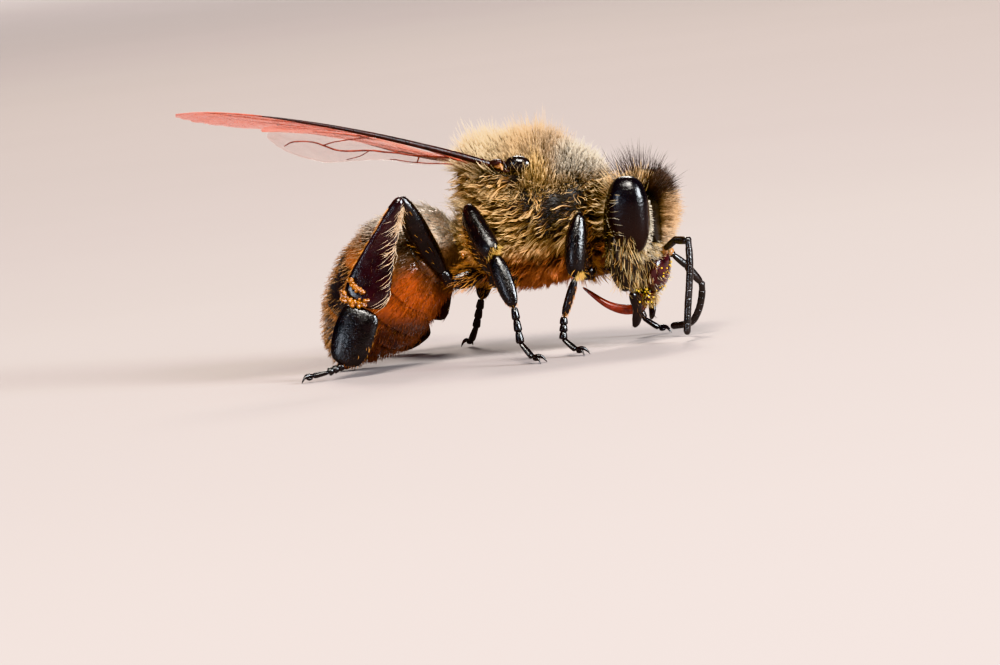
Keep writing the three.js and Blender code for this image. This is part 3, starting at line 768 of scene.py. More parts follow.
head_coats = [
    weave("crown_hair", [
        head_layer(330, where_in((2.5, -0.1, 4.3), (3.8, 1.25, 5.2)), comb_crown, gauge=0.0068,
                   loose=0.15, drawn=0.1, root_shade=0.7),
        head_layer(1500, where_in((2.3, -0.1, 4.3), (3.4, 1.2, 5.2)),
                   plain_comb((-0.1, 0, 0.7), 0.8, 0.27, (248, 190, 122), CREAM), gauge=0.0062,
                   loose=0.2, root_shade=0.3, tone=(0.5, 1.15)),
        head_layer(1000, where_in((3.45, -0.1, 4.05), (4.0, 0.55, 5.2)), comb_dark_fan, gauge=0.0082,
                   root_shade=0.4, loose=0.3, tone=(0.5, 1.3)),
    ]),
    weave("brow_hair", [
        head_layer(3200, where_in((3.3, -0.1, 2.72), (4.2, 0.36, 4.15)), comb_brow, gauge=0.0066,
                   loose=0.3, drawn=0.3, root_shade=0.4, lock=0.12, tone=(0.4, 1.15)),
        head_layer(1300, where_in((3.2, 0.85, 2.75), (4.0, 1.12, 4.35), 0.04),
                   plain_comb((0.5, 0, -0.4), 0.8, 0.14, WHITE, (226, 206, 176)), gauge=0.01,
                   rings=2, loose=0.3, lock=0.1),
        head_layer(1000, where_in((3.1, 0.2, 2.45), (4.0, 1.0, 2.85)),
                   plain_comb((0.4, 0, -0.5), 0.8, 0.15, WHITE, (236, 190, 110)), gauge=0.009,
                   rings=2, loose=0.3, lock=0.1),
    ]),
    weave("cheek_hair", [
        head_layer(150, where_in((2.2, 0.95, 2.9), (2.7, 1.8, 4.5)),
                   plain_comb((1.1, 0, -0.05), 0.4, 0.38, (255, 240, 210), GOLD), gauge=0.0065,
                   drawn=0.15, root_shade=0.8),
        head_layer(560, where_in((2.3, 0.5, 1.5), (3.5, 1.8, 3.0)),
                   plain_comb((0.15, 0, -0.9), 0.5, 0.34, (255, 240, 190), (232, 170, 90)),
                   gauge=0.0048, rings=5, loose=0.26, lock=0.14, drawn=0.4, root_shade=0.15,
                   curl=0.3, tone=(0.1, 1.7)),
        head_layer(600, where_in((2.0, -0.1, 1.6), (2.4, 0.7, 4.2)),
                   plain_comb((-0.3, 0, -0.2), 0.8, 0.25, STRAW, GOLD), gauge=0.01, rings=2),
    ]),
]
head_coats.append(weave("mouth_hair", [
    coat(clypeus, 90, where_in((3.0, -0.1, 1.2), (4.0, 0.7, 1.9)),
         plain_comb((0.3, 0, -0.4), 0.8, 0.14, WHITE, STRAW), ball_unwrap(CLYPEUS_MIDDLE), dice,
         gauge=0.008, rings=2, loose=0.3),
    coat(labrum, 220, where_in((2.8, -0.1, 1.0), (4.0, 0.7, 1.7)),
         plain_comb((0.3, 0, -0.6), 0.7, 0.18, GOLD, STRAW), ball_unwrap(LABRUM_MIDDLE), dice,
         gauge=0.009, rings=2, loose=0.3),
]))
# The eyes have hair of their own: pale and level over the rear rim, golden over the lower end.
for side_name, eye in eyes.items():
    eye_unwrap = ball_unwrap(EYE_MIDDLE * Vector((1, -SIDES[side_name], 1)))
    head_coats.append(weave(f"eye_hair_{side_name}", [
        coat(eye, 80, where_in((2.3, 1.4, 3.15), (2.74, 2.2, 4.4)),
             plain_comb((0.9, 0, -0.05), 0.3, 0.32, (255, 246, 226), STRAW), eye_unwrap, dice,
             gauge=0.0046, drawn=0.1, root_shade=0.8),
        coat(eye, 100, where_in((2.4, 1.2, 2.5), (3.3, 2.2, 3.15)),
             plain_comb((-0.1, 0, -0.9), 0.4, 0.27, (255, 240, 190), (236, 176, 96)), eye_unwrap,
             dice, gauge=0.0052, rings=5, loose=0.3, lock=0.14, drawn=0.3, root_shade=0.3,
             curl=0.25, tone=(0.3, 1.6)),
    ]))

set_down(head, "face_coat", "head")
for piece in head_coats:
    set_down(piece, "face_coat")
for side_name, eye in eyes.items():
    set_down(eye, "compound_eye", f"eye_{side_name}")
set_down(clypeus, "mouthparts")
set_down(labrum, "mouthparts")
set_down(simple_eyes, "compound_eye")

# ---- Feelers ----------------------------------------------------------------------------------
# Each feeler is a long first joint, the scape, in a pale socket on the face, then a short pedicel
# and ten small barrels strung on a nerve. All are thin black shell tubes.

STATIONS = (0.0, 0.03, 0.1, 0.22, 0.36, 0.5, 0.64, 0.78, 0.9, 0.97, 1.0)  # rings along a joint
SMALLEST_RING = 0.12  # of its full width, at a joint's closed ends
CURVE_STEPS = 24  # between two given points of a line


def size_at(sizes, share):
    """The value at a share, from 0 to 1, along an evenly spaced list of sizes."""
    return float(np.interp(share, np.linspace(0, 1, len(sizes)), sizes))


def face_outwards(piece):
    """Turns all faces of a closed piece outwards."""
    pick_only(piece)
    bpy.ops.object.mode_set(mode="EDIT")
    bpy.ops.mesh.select_all(action="SELECT")
    bpy.ops.mesh.normals_make_consistent(inside=False)
    bpy.ops.object.mode_set(mode="OBJECT")


def grow(name, rings, around=14):
    """Grows one closed piece upwards, ring by ring: (height, half width, half depth, bow)."""
    bpy.ops.object.select_all(action="DESELECT")
    height, width, depth, bow = rings[0]
    bpy.ops.mesh.primitive_circle_add(vertices=around, radius=1, fill_type="NGON",
                                      location=(bow, 0, height))
    piece = bpy.context.object
    piece.scale = (width, depth, 1)
    settle(piece, name)
    bpy.ops.object.mode_set(mode="EDIT")
    for next_height, next_width, next_depth, next_bow in rings[1:]:
        bpy.ops.mesh.extrude_region_move(
            TRANSFORM_OT_translate={"value": (next_bow - bow, 0, next_height - height)})
        bpy.ops.transform.resize(value=(next_width / width, next_depth / depth, 1),
                                 center_override=(next_bow, 0, next_height))
        height, width, depth, bow = next_height, next_width, next_depth, next_bow
    bpy.ops.object.mode_set(mode="OBJECT")
    face_outwards(piece)
    return piece


def stand_between(start, end, face):
    """The place of a piece grown upwards, when it runs from start to end with its flat side to face."""
    start, end = Vector(start), Vector(end)
    along = (end - start).normalized()
    flat = Vector(face)
    flat = (flat - along * flat.dot(along)).normalized()
    wide = flat.cross(along)
    turned = Matrix((wide, flat, along)).transposed().to_4x4()
    return Matrix.Translation(start) @ turned


def limb(name, start, end, widths, depths=None, bow=0.0, face=(0, 1, 0), bluntness=7):
    """A smooth round-ended joint of a leg, feeler or mouthpart, from start to end."""
    length = (Vector(end) - Vector(start)).length
    rings = []
    for share in STATIONS:
        blunt = math.sqrt(max(0.0, 1 - abs(2 * share - 1) ** bluntness))
        blunt = max(blunt, SMALLEST_RING)
        rings.append((share * length, blunt * size_at(widths, share),
                      blunt * size_at(depths or widths, share), 4 * bow * share * (1 - share)))
    piece = smooth_out(grow(name, rings))
    piece.data.transform(stand_between(start, end, face))
    return piece


def points_along(line, count):
    """Evenly spaced points on a smooth line through a few given ones."""
    line = np.array(line, float)
    ends = np.vstack([2 * line[0] - line[1], line, 2 * line[-1] - line[-2]])
    smooth = []
    for i in range(1, len(ends) - 2):
        a, b, c, d = ends[i - 1:i + 3]
        for t in np.linspace(0, 1, CURVE_STEPS, endpoint=False):
            smooth.append(0.5 * (2 * b + (c - a) * t + (2 * a - 5 * b + 4 * c - d) * t ** 2
                                 + (3 * b - a - 3 * c + d) * t ** 3))
    smooth = np.array(smooth + [line[-1]])
    walked = np.append(0, np.linalg.norm(np.diff(smooth, axis=0), axis=1).cumsum())
    stops = np.linspace(0, walked[-1], count)
    return np.column_stack([np.interp(stops, walked, smooth[:, k]) for k in range(3)])


SOCKETS = {"right": (3.74, -0.34, 2.6), "left": (3.74, 0.34, 2.5)}
SCAPES = {
    "right": [(3.72, -0.35, 2.62), (4.26, -0.72, 2.95), (4.62, -1.0, 2.86)],
    "left": [(3.76, 0.35, 2.44), (4.12, 0.66, 2.0), (4.38, 0.92, 1.48)],
}
FLAGELLA = {
    "right": [(4.63, -1.01, 2.88), (4.62, -1.05, 2.3), (4.55, -1.08, 1.7), (4.43, -1.1, 1.0),
              (4.33, -1.12, 0.3)],
    "left": [(4.38, 0.92, 1.46), (4.33, 1.0, 1.16), (4.15, 1.12, 0.72), (3.82, 1.35, 0.37),
             (3.2, 1.75, 0.29)],
}
BARREL_COUNT = 11  # the pedicel and ten more
FEELER_SHELL = shell_finish("feeler shell", (26, 20, 18), (9, 7, 6), 0.14, 0.3, 0.6,
                            Coat_Weight=0.2, Coat_Roughness=0.1)
PALE_HINGE = shell_finish("pale hinge", (170, 116, 66), (78, 46, 26), 0.26, 0.46, 0.4, 9000.0)
BARREL_HALF, PEDICEL_HALF = 0.106, 0.094
barrel = smooth_out(grow("barrel", [
    (-0.06, 0.9, 0.9, 0), (0.0, 0.98, 0.98, 0), (0.1, 1.0, 1.0, 0), (0.5, 1.01, 1.01, 0),
    (0.92, 1.02, 1.02, 0), (1.0, 0.99, 0.99, 0), (1.06, 0.9, 0.9, 0)]))
sockets = []
for side_name in SIDES:
    start, middle, end = SCAPES[side_name]
    scape = join(f"scape_{side_name}", [
        limb("scape_root", start, middle, (0.08, 0.105, 0.115)),
        limb("scape_end", Vector(start).lerp(Vector(middle), 0.8), end, (0.115, 0.12, 0.12, 0.1)),
        lump(start, (0.1, 0.1, 0.1), 0, 8),
    ])
    scape.data.materials.append(FEELER_SHELL)
    sockets.append(lump(SOCKETS[side_name], (0.09, 0.13, 0.13), 0.1, 10))
    stops = points_along(FLAGELLA[side_name], BARREL_COUNT + 1)
    barrels = [lump(stops[0], (0.1, 0.1, 0.1), 0, 8)]
    for number, (low, high) in enumerate(zip(stops, stops[1:])):
        wide = PEDICEL_HALF if number == 0 else BARREL_HALF
        tall = float(np.linalg.norm(high - low))
        barrels.append(copy_at(barrel, f"barrel_{number}", stand_between(low, high, (1, 0, 0))
                               @ Matrix.Diagonal((wide, wide, tall, 1))))
    barrels.append(lump(stops[-1], (0.095, 0.095, 0.095), 0, 8))
    flagellum = join(f"flagellum_{side_name}", barrels)
    flagellum.data.materials.append(FEELER_SHELL)
    set_down(scape, "black_cuticle", f"antenna_{side_name}_scape")
    set_down(flagellum, "black_cuticle", f"antenna_{side_name}_flagellum")
sockets = join("feeler_sockets", sockets)
sockets.data.materials.append(PALE_HINGE)
set_down(sockets, "face_coat")
bpy.data.objects.remove(barrel)

# ---- Mouthparts -------------------------------------------------------------------------------
# Two spoon-shaped jaws of dark shell hinged at the cheeks, and the tongue: two chestnut blades
# closed on each other like a strap, folded back under the head when it isn't feeding.


def bend_along(piece, line):
    """Bends a straight piece, grown upwards, along an evenly spaced line in the bee's middle plane."""
    places, _, _ = mesh_numbers(piece)
    step = float(np.linalg.norm(line[1] - line[0]))
    stops = np.arange(len(line)) * step
    ahead = unit(np.gradient(line, axis=0))
    above = np.column_stack([ahead[:, 2], 0 * ahead[:, 1], -ahead[:, 0]])

    def on_line(values):
        """The values that the line has beside each place of the piece."""
        return np.column_stack([np.interp(places[:, 2], stops, values[:, k]) for k in range(3)])

    beyond = places[:, 2] - np.clip(places[:, 2], 0, stops[-1])
    bent = on_line(line) + on_line(above) * places[:, 1:2] + on_line(ahead) * beyond[:, None]
    bent[:, 1] -= places[:, 0]
    piece.data.vertices.foreach_set("co", bent.astype(np.float32).ravel())
    piece.data.update()


MANDIBLES = {
    "right": ((2.8, -0.8, 1.56), (2.66, -0.42, 0.5)),
    "left": ((2.88, 0.8, 1.56), (2.92, 0.46, 0.62)),
}
CHESTNUT_SHELL = shell_finish("chestnut shell", (150, 46, 18), (58, 18, 10), 0.16, 0.34, 0.3,
                              2200.0, Coat_Weight=0.3, Coat_Roughness=0.14)
for side_name, (hinge, tip) in MANDIBLES.items():
    bow = -0.1 * SIDES[side_name]
    jaw = limb(f"jaw_{side_name}", hinge, tip, (0.2, 0.2, 0.15, 0.17, 0.16), (0.15, 0.12, 0.09, 0.07),
               bow, face=(1, SIDES[side_name], 0))
    jaw.data.materials.append(BLACK_SHELL)
    jaw_hair = coat(jaw, 40, lambda p, n: 1.0 + 0 * p[:, 2],
                    plain_comb((0.1, 0, -0.9), 0.5, 0.18, (150, 100, 56), (70, 44, 28)),
                    ball_unwrap(hinge), dice, gauge=0.005, rings=2)
    set_down(jaw, "mouthparts", f"mandible_{side_name}")
    set_down(weave(f"jaw_hair_{side_name}", [jaw_hair]), "mouthparts")

TONGUE_LINE = points_along([(2.9, 0, 1.12), (2.4, 0, 1.0), (1.8, 0, 1.2), (1.12, 0, 1.76)], 81)
TONGUE_DEPTHS = (0.15, 0.15, 0.14, 0.11, 0.085, 0.06, 0.025)
TONGUE_WIDTHS = (0.1, 0.1, 0.095, 0.08, 0.065, 0.05, 0.02)
tongue_length = float(np.linalg.norm(np.diff(TONGUE_LINE, axis=0), axis=1).sum())
blades = []
for side in SIDES.values():
    blade = grow("blade", [
        (share * tongue_length, size_at(TONGUE_WIDTHS, share), size_at(TONGUE_DEPTHS, share),
         -side * 0.8 * size_at(TONGUE_WIDTHS, share)) for share in np.linspace(0, 1, 13)])
    smooth_out(blade)
    bend_along(blade, TONGUE_LINE)
    blades.append(blade)
blades.append(limb("stalk", (2.98, 0, 1.42), (2.72, 0, 1.06), (0.2, 0.22, 0.16), (0.16, 0.16, 0.12)))
tongue = join("tongue", blades)
tongue.data.materials.append(CHESTNUT_SHELL)
set_down(tongue, "mouthparts", "proboscis")

# ---- Wings ------------------------------------------------------------------------------------
# Four clear sheets of dry membrane, a few hundredths of a millimetre thick, stretched between
# hollow brown veins. The thick double vein along the front edge carries the forewing.

WING_LENGTH, HINDWING_REACH = 8.95, 5.8
FILM_THICKNESS = 0.025
COLUMNS, ROWS = 90, 14  # cells along and across each sheet of film
FLUTE_COUNT, FLUTE_DEPTH = 2.5, 0.03  # shallow folds that run out along the film
DENSER_FROM, DENSEST_AT = -3.2, -6.2  # the forewing's film thickens between these places
# Front and rear edges of each wing: (distance out from the root, distance back).
FOREWING = {
    "lead": [(0, 0), (2.5, -0.1), (5, -0.08), (7.2, 0.12), (8.3, 0.52), (8.95, 1.3)],
    "trail": [(0, 0.38), (1.5, 0.95), (3.2, 2.05), (4.9, 2.85), (6.4, 3.05), (7.8, 2.65),
              (8.7, 1.95), (8.95, 1.45)],
}
HINDWING = {
    "lead": [(0.25, 0.85), (1.4, 1.1), (2.9, 2.08), (4.1, 2.72), (5.1, 3.12), (5.8, 3.42)],
    "trail": [(0.25, 1.25), (1.2, 1.9), (2.6, 3.05), (3.95, 4.1), (4.95, 4.4), (5.65, 4.05),
              (5.8, 3.6)],
}
# Where each pair is rooted, how far it is swept out and raised, and its sag, in radians and
# millimetres. Droop and hang are the turns of the film before and behind the fold, root to tip.
WING_POSES = {
    "right": {"root": (-0.62, 1.66, 5.56), "sweep": 0.5, "rise": 0.4, "sag": 0.011,
              "droop": (0.16, -0.04, 0.05, 0.13, 0.17), "hang": (0.12, 0.52, 0.66, 0.38)},
    "left": {"root": (-0.62, 1.66, 5.37), "sweep": 0.5, "rise": 0.022, "sag": -0.018,
             "droop": (0.01, -0.33, -0.3, 0.0), "hang": (-0.22, -0.27, -0.17)},
}
# Veins: half thickness at root and tip, then (share of the wing's length, share of its width).
FRONT_VEINS = [
    (0.1, 0.02, [(0.0, 0.02), (0.2, 0.0), (0.45, 0.0), (0.62, 0.0), (0.76, 0.0)]),
    (0.11, 0.03, [(0.0, 0.24), (0.1, 0.11), (0.3, 0.05), (0.5, 0.045), (0.6, 0.035)]),
]
FOREWING_VEINS = [
    (0.024, 0.014, [(0.72, 0.0), (0.84, 0.01), (0.93, 0.06)]),
    (0.05, 0.02, [(0.56, 0.04), (0.63, 0.07), (0.6, 0.02)]),
    (0.018, 0.012, [(0.6, 0.1), (0.68, 0.17), (0.78, 0.2), (0.86, 0.16), (0.92, 0.06)]),
    (0.03, 0.016, [(0.02, 0.5), (0.12, 0.4), (0.25, 0.33), (0.36, 0.36), (0.4, 0.42)]),
    (0.018, 0.014, [(0.47, 0.05), (0.44, 0.14), (0.39, 0.26), (0.36, 0.36)]),
    (0.018, 0.01, [(0.36, 0.36), (0.46, 0.5), (0.56, 0.66), (0.66, 0.86)]),
    (0.016, 0.011, [(0.44, 0.14), (0.5, 0.24), (0.58, 0.28), (0.68, 0.26), (0.77, 0.22)]),
    (0.015, 0.011, [(0.5, 0.24), (0.54, 0.38), (0.64, 0.46), (0.76, 0.42), (0.9, 0.4)]),
    (0.014, 0.011, [(0.6, 0.1), (0.59, 0.2), (0.58, 0.28), (0.56, 0.4)]),
    (0.014, 0.011, [(0.68, 0.26), (0.7, 0.36), (0.67, 0.45)]),
    (0.014, 0.01, [(0.54, 0.38), (0.5, 0.48), (0.49, 0.55)]),
    (0.014, 0.01, [(0.67, 0.45), (0.66, 0.6), (0.6, 0.73)]),
    (0.024, 0.012, [(0.03, 0.72), (0.12, 0.66), (0.22, 0.72), (0.34, 0.93)]),
]
HINDWING_VEINS = [
    (0.035, 0.018, [(0.02, 0.04), (0.2, 0.03), (0.42, 0.0), (0.6, 0.0), (0.8, 0.0)]),
    (0.034, 0.014, [(0.03, 0.1), (0.14, 0.16), (0.3, 0.55), (0.41, 0.62), (0.49, 0.58), (0.6, 0.6),
                    (0.69, 0.5), (0.76, 0.4), (0.82, 0.45), (0.86, 0.58), (0.88, 0.86)]),
    (0.02, 0.018, [(0.71, 0.46), (0.67, 0.3), (0.61, 0.18), (0.53, 0.05)]),
    (0.016, 0.012, [(0.49, 0.58), (0.52, 0.82), (0.57, 0.94)]),
    (0.022, 0.014, [(0.02, 0.6), (0.1, 0.82), (0.22, 0.89), (0.38, 0.96)]),
    (0.026, 0.024, [(0.27, 0.5), (0.26, 0.88)]),
]


def edge_at(outline, length):
    """How far back a wing's edge lies at a length out from the root."""
    dense = points_along([(u, v, 0) for u, v in outline], 60)
    return float(np.interp(length, dense[:, 0], dense[:, 1]))


def wing_point(pose, side, out_by, back_by, height=0.0):
    """A point of a wing, from its distance out from the root and back from its front line. Behind
    the fold, where the hindwing is hooked to the forewing, it hangs at an angle of its own."""
    rise, sweep = pose["rise"], pose["sweep"]
    out = Vector((-math.cos(rise) * math.cos(sweep), side * math.cos(rise) * math.sin(sweep),
                  math.sin(rise)))
    inward = Vector((-math.sin(sweep), -side * math.cos(sweep), 0))
    up = out.cross(inward) * side
    droop = size_at(pose["droop"], out_by / WING_LENGTH)
    hang = size_at(pose["hang"], out_by / HINDWING_REACH)
    fold = float(np.interp(out_by, *zip(*HINDWING["lead"]), right=WING_LENGTH))
    front = min(back_by, fold)
    rear = back_by - front
    angle = hang if rear > 0 else droop
    drop = front * math.sin(droop) + rear * math.sin(hang) + pose["sag"] * out_by ** 2
    root = Vector((pose["root"][0], side * pose["root"][1], pose["root"][2]))
    return (root + out * out_by
            + inward * (front * math.cos(droop) + rear * math.cos(hang) + height * math.sin(angle))
            + up * (height * math.cos(angle) - drop))


def membrane_finish(name, light, dark, thinnest, thickest, tip_share=0.0, **constants):
    """Dry wrinkled film in two near colours, see-through between two opacities. The tip can be
    denser by a share. Looked at along the film there is more of it to see through."""
    material, tree, shader = new_finish(name, **constants)
    place = add_node(tree, "ShaderNodeTexCoord").outputs["Object"]
    tint = use_group(tree, mottle, Light=paint(*light), Dark=paint(*dark), Scale=900.0)
    wrinkle = add_node(tree, "ShaderNodeTexNoise", Vector=place, Scale=2600.0, Detail=3.0,
                       Distortion=0.6)
    ripple = add_node(tree, "ShaderNodeBump", Height=wrinkle.outputs["Fac"], Strength=0.2,
                      Distance=0.00002)
    sheen = add_node(tree, "ShaderNodeMapRange", Value=wrinkle.outputs["Fac"], at1=0.3, at2=0.7,
                     at3=0.14, at4=0.34)
    clear = add_node(tree, "ShaderNodeMapRange", Value=wrinkle.outputs["Fac"], at1=0.3, at2=0.7,
                     at3=thinnest, at4=thickest)
    rearward = add_node(tree, "ShaderNodeSeparateXYZ", Vector=place).outputs["X"]
    denser = add_node(tree, "ShaderNodeMapRange", {"interpolation_type": "SMOOTHSTEP"},
                      Value=rearward, at1=BENCH_PLACE.x + DENSER_FROM * MM,
                      at2=BENCH_PLACE.x + DENSEST_AT * MM, at3=0.0, at4=tip_share)
    total = add_node(tree, "ShaderNodeMath", {"operation": "ADD"}, at0=clear.outputs["Result"],
                     at1=denser.outputs["Result"])
    slant = add_node(tree, "ShaderNodeLayerWeight", Blend=0.5).outputs["Facing"]
    path = add_node(tree, "ShaderNodeMapRange", Value=slant, at1=0.45, at2=0.8, at3=0.45, at4=1.0)
    opacity = add_node(tree, "ShaderNodeMath", {"operation": "MULTIPLY"}, at0=total.outputs["Value"],
                       at1=path.outputs["Result"])
    feed(tree, shader, Base_Color=tint["Color"], Roughness=sheen.outputs["Result"],
         Alpha=opacity.outputs["Value"], Normal=ripple.outputs["Normal"])
    return material


# The forewing's film is tinted salmon and glows a little, most at its dense tip: painted light standing
# for the light that comes through it.
FOREWING_FILM = membrane_finish(
    "forewing membrane", (234, 132, 104), (208, 98, 74), 0.2, 0.3, 0.38,
    Specular_IOR_Level=0.2, Emission_Color=paint(226, 98, 70), Emission_Strength=0.2)
# The hindwing's film is tinted pink: painted light standing for the light that comes through it.
HINDWING_FILM = membrane_finish("hindwing membrane", (238, 178, 158), (206, 132, 108), 0.2, 0.32,
                                Coat_Weight=0.3, Coat_Roughness=0.15)
FRONT_VEIN = shell_finish("front vein", (44, 18, 14), (14, 7, 6), 0.24, 0.42, 0.8, 6000.0,
                          Specular_IOR_Level=0.25)
FINE_VEIN = shell_finish("fine vein", (150, 62, 40), (92, 34, 24), 0.2, 0.4, 0.2, 6000.0)


def vein_network(name, veins, place_of, finish):
    """Hollow tubes of shell along lines on a wing, thick for most of their length."""
    lines = bpy.data.curves.new(name, "CURVE")
    lines.dimensions = "3D"
    lines.bevel_depth = 1.0
    lines.bevel_resolution = 1
    lines.use_fill_caps = True
    for thick, thin, stops in veins:
        smooth = points_along([(share, back, 0) for share, back in stops], 5 * len(stops))
        spline = lines.splines.new("POLY")
        spline.points.add(len(smooth) - 1)
        for number, (point, (share, back, _)) in enumerate(zip(spline.points, smooth)):
            along = number / (len(smooth) - 1)
            point.co = (*place_of(share, back), 1)
            point.radius = thick + (thin - thick) * along ** 2
    network = bpy.data.objects.new(name, lines)
    bpy.context.scene.collection.objects.link(network)
    pick_only(network)
    bpy.ops.object.convert(target="MESH")
    network = settle(bpy.context.object, name)
    bpy.ops.object.shade_smooth()
    network.data.materials.append(finish)
    return network


def make_wing(name, outline, vein_sets, film, pose, side, ragged):
    """The film and the veins of one wing, its rear edge nicked near the tip."""
    dice = np.random.default_rng(41 + side)
    first, last = outline["lead"][0][0], outline["lead"][-1][0]
    bpy.ops.object.select_all(action="DESELECT")
    bpy.ops.mesh.primitive_grid_add(x_subdivisions=COLUMNS, y_subdivisions=ROWS, size=1)
    membrane = settle(bpy.context.object, f"{name}_membrane")
    shares = np.linspace(0, 1, COLUMNS + 1)
    lead = [edge_at(outline["lead"], u) for u in first + shares * (last - first)]
    trail = [edge_at(outline["trail"], u) for u in first + shares * (last - first)]
    nicks = dice.uniform(-1, 0.5, COLUMNS + 1) * ragged * ramp(shares, 0.7, 0.9)

    def place_of(share, back, height=0.0):
        """A point of the wing, from its shares of the length and of the width there."""
        near_edge, far_edge, nick = (np.interp(share, shares, values) for values in (lead, trail, nicks))
        back_by = near_edge + back * (far_edge + nick - near_edge)
        return wing_point(pose, side, first + share * (last - first), back_by, height)

    for vertex in membrane.data.vertices:
        share, back = vertex.co.x + 0.5, vertex.co.y + 0.5
        flute = (FLUTE_DEPTH * math.sin(back * FLUTE_COUNT * 2 * math.pi) * (1 - back)
                 * math.sin(share * math.pi))
        vertex.co = place_of(share, back, flute)
    finish_with(membrane, "SOLIDIFY", thickness=FILM_THICKNESS, offset=0)
    face_outwards(membrane)
    bpy.ops.object.shade_smooth()
    membrane.data.materials.append(film)
    set_down(membrane, "wing_membrane", name)
    for set_name, veins, finish in vein_sets:
        set_down(vein_network(f"{name}_{set_name}", veins, place_of, finish), "black_cuticle", name)


for side_name, side in SIDES.items():
    pose = WING_POSES[side_name]
    make_wing(f"forewing_{side_name}", FOREWING, [
        ("front_veins", FRONT_VEINS, FRONT_VEIN), ("fine_veins", FOREWING_VEINS, FINE_VEIN),
    ], FOREWING_FILM, pose, side, 0.14)
    make_wing(f"hindwing_{side_name}", HINDWING, [
        ("fine_veins", HINDWING_VEINS, FINE_VEIN),
    ], HINDWING_FILM, pose, side, 0.02)

# ---- Wing hinges ------------------------------------------------------------------------------
# A glossy black scale, the tegula, covers each wing's hinge like a lid. Behind it small brown and
# black hinge plates join the wing's thick front vein to the side of the thorax.

for side_name, side in SIDES.items():
    scale = settle(lump((0.14, side * 1.78, 5.53), (0.38, 0.2, 0.24), 0.14, 24),
                   f"wing_scale_{side_name}")
    bpy.ops.object.shade_smooth()
    scale.data.materials.append(BLACK_SHELL)
    plates = join(f"hinge_plates_{side_name}", [
        limb("hinge_a", (-0.72, side * 1.68, 5.6), (-0.3, side * 1.82, 5.62), (0.11, 0.13, 0.1)),
        limb("hinge_b", (-0.52, side * 1.78, 5.42), (-0.1, side * 1.88, 5.36), (0.05, 0.07, 0.05)),
        limb("hinge_c", (-0.26, side * 1.84, 5.66), (-0.18, side * 1.9, 5.4), (0.04, 0.05, 0.04)),
    ])
    plates.data.materials.append(FRONT_VEIN)
    pale_plates = join(f"pale_plates_{side_name}", [
        limb("pale_a", (-0.56, side * 1.8, 5.52), (-0.28, side * 1.9, 5.5), (0.04, 0.06, 0.04)),
        limb("pale_b", (-0.36, side * 1.86, 5.6), (-0.3, side * 1.92, 5.4), (0.03, 0.04, 0.03)),
    ])
    pale_plates.data.materials.append(PALE_HINGE)
    set_down(scale, "black_cuticle", f"tegula_{side_name}")
    set_down(plates, "black_cuticle")
    set_down(pale_plates, "black_cuticle")

# ---- Abdomen ----------------------------------------------------------------------------------
# Six overlapping rings of amber shell with dark rear bands, each slid under the one in front, so
# that the abdomen can stretch and curl. Each ring is turned straight and then bent on the spine.

# Along the spine, evenly spaced from waist to tip: how far the rings reach above it, below it and
# to each side. Then where the rings end, as shares of the spine.
SPINE = [(-2.35, 0, 3.35), (-3.3, 0, 2.93), (-4.1, 0, 2.5), (-4.8, 0, 1.95), (-5.45, 0, 1.35),
         (-5.95, 0, 0.68), (-6.2, 0, 0.05)]
BACK_HEIGHT = [1.1, 1.6, 1.78, 1.82, 1.74, 1.54, 1.2, 0.74, 0.1]
BELLY_DEPTH = [0.4, 0.86, 1.1, 1.3, 1.46, 1.45, 1.2, 0.74, 0.1]
HALF_WIDTH = [0.42, 1.62, 1.96, 2.02, 1.95, 1.74, 1.35, 0.82, 0.12]
RING_ENDS = [0.0, 0.17, 0.37, 0.55, 0.71, 0.86, 1.0]
BAND_STARTS = [0.92, 0.72, 0.6, 0.42, 0.2, 0.0]  # where each ring's dark rear band begins
SPINE_STEPS = 240
spine_points = points_along(SPINE, SPINE_STEPS + 1)
spine_length = float(np.linalg.norm(np.diff(spine_points, axis=0), axis=1).sum())
spine_along = unit(np.gradient(spine_points, axis=0))
spine_up = np.column_stack([spine_along[:, 2], 0 * spine_along[:, 1], -spine_along[:, 0]])


def share_along_spine(places):
    """How far along the spine each place lies, from 0 at the waist to 1 at the tip."""
    shares = np.empty(len(places))
    for first in range(0, len(places), HANDFUL):
        flat = places[first:first + HANDFUL] * (1, 0, 1)
        away = np.linalg.norm(flat[:, None, :] - spine_points[None, ::2], axis=-1)
        shares[first:first + HANDFUL] = away.argmin(1) / (SPINE_STEPS / 2)
    return shares


def spine_stop(share):
    """The number of the spine's point nearest to each share of its length."""
    return np.rint(share * SPINE_STEPS).astype(int)


def within_ring(share):
    """Which ring a share along the spine lies in, and how far along that ring."""
    ring = np.clip(np.searchsorted(RING_ENDS, share) - 1, 0, 5)
    starts, ends = np.array(RING_ENDS)[ring], np.array(RING_ENDS)[ring + 1]
    return ring, (share - starts) / (ends - starts)


GLOSSY_PATCH = ((-5.75, 1.3, 2.6), (0.5, 0.9, 0.6))  # bare dark shell high on each rear side


def underside(places, facing, share):
    """One where the abdomen faces its belly side, nothing on its back and at the waist."""
    up = spine_up[spine_stop(share)]
    return ramp(-(facing * up).sum(1), -0.2, 0.4) * ramp(share, 0.1, 0.28)


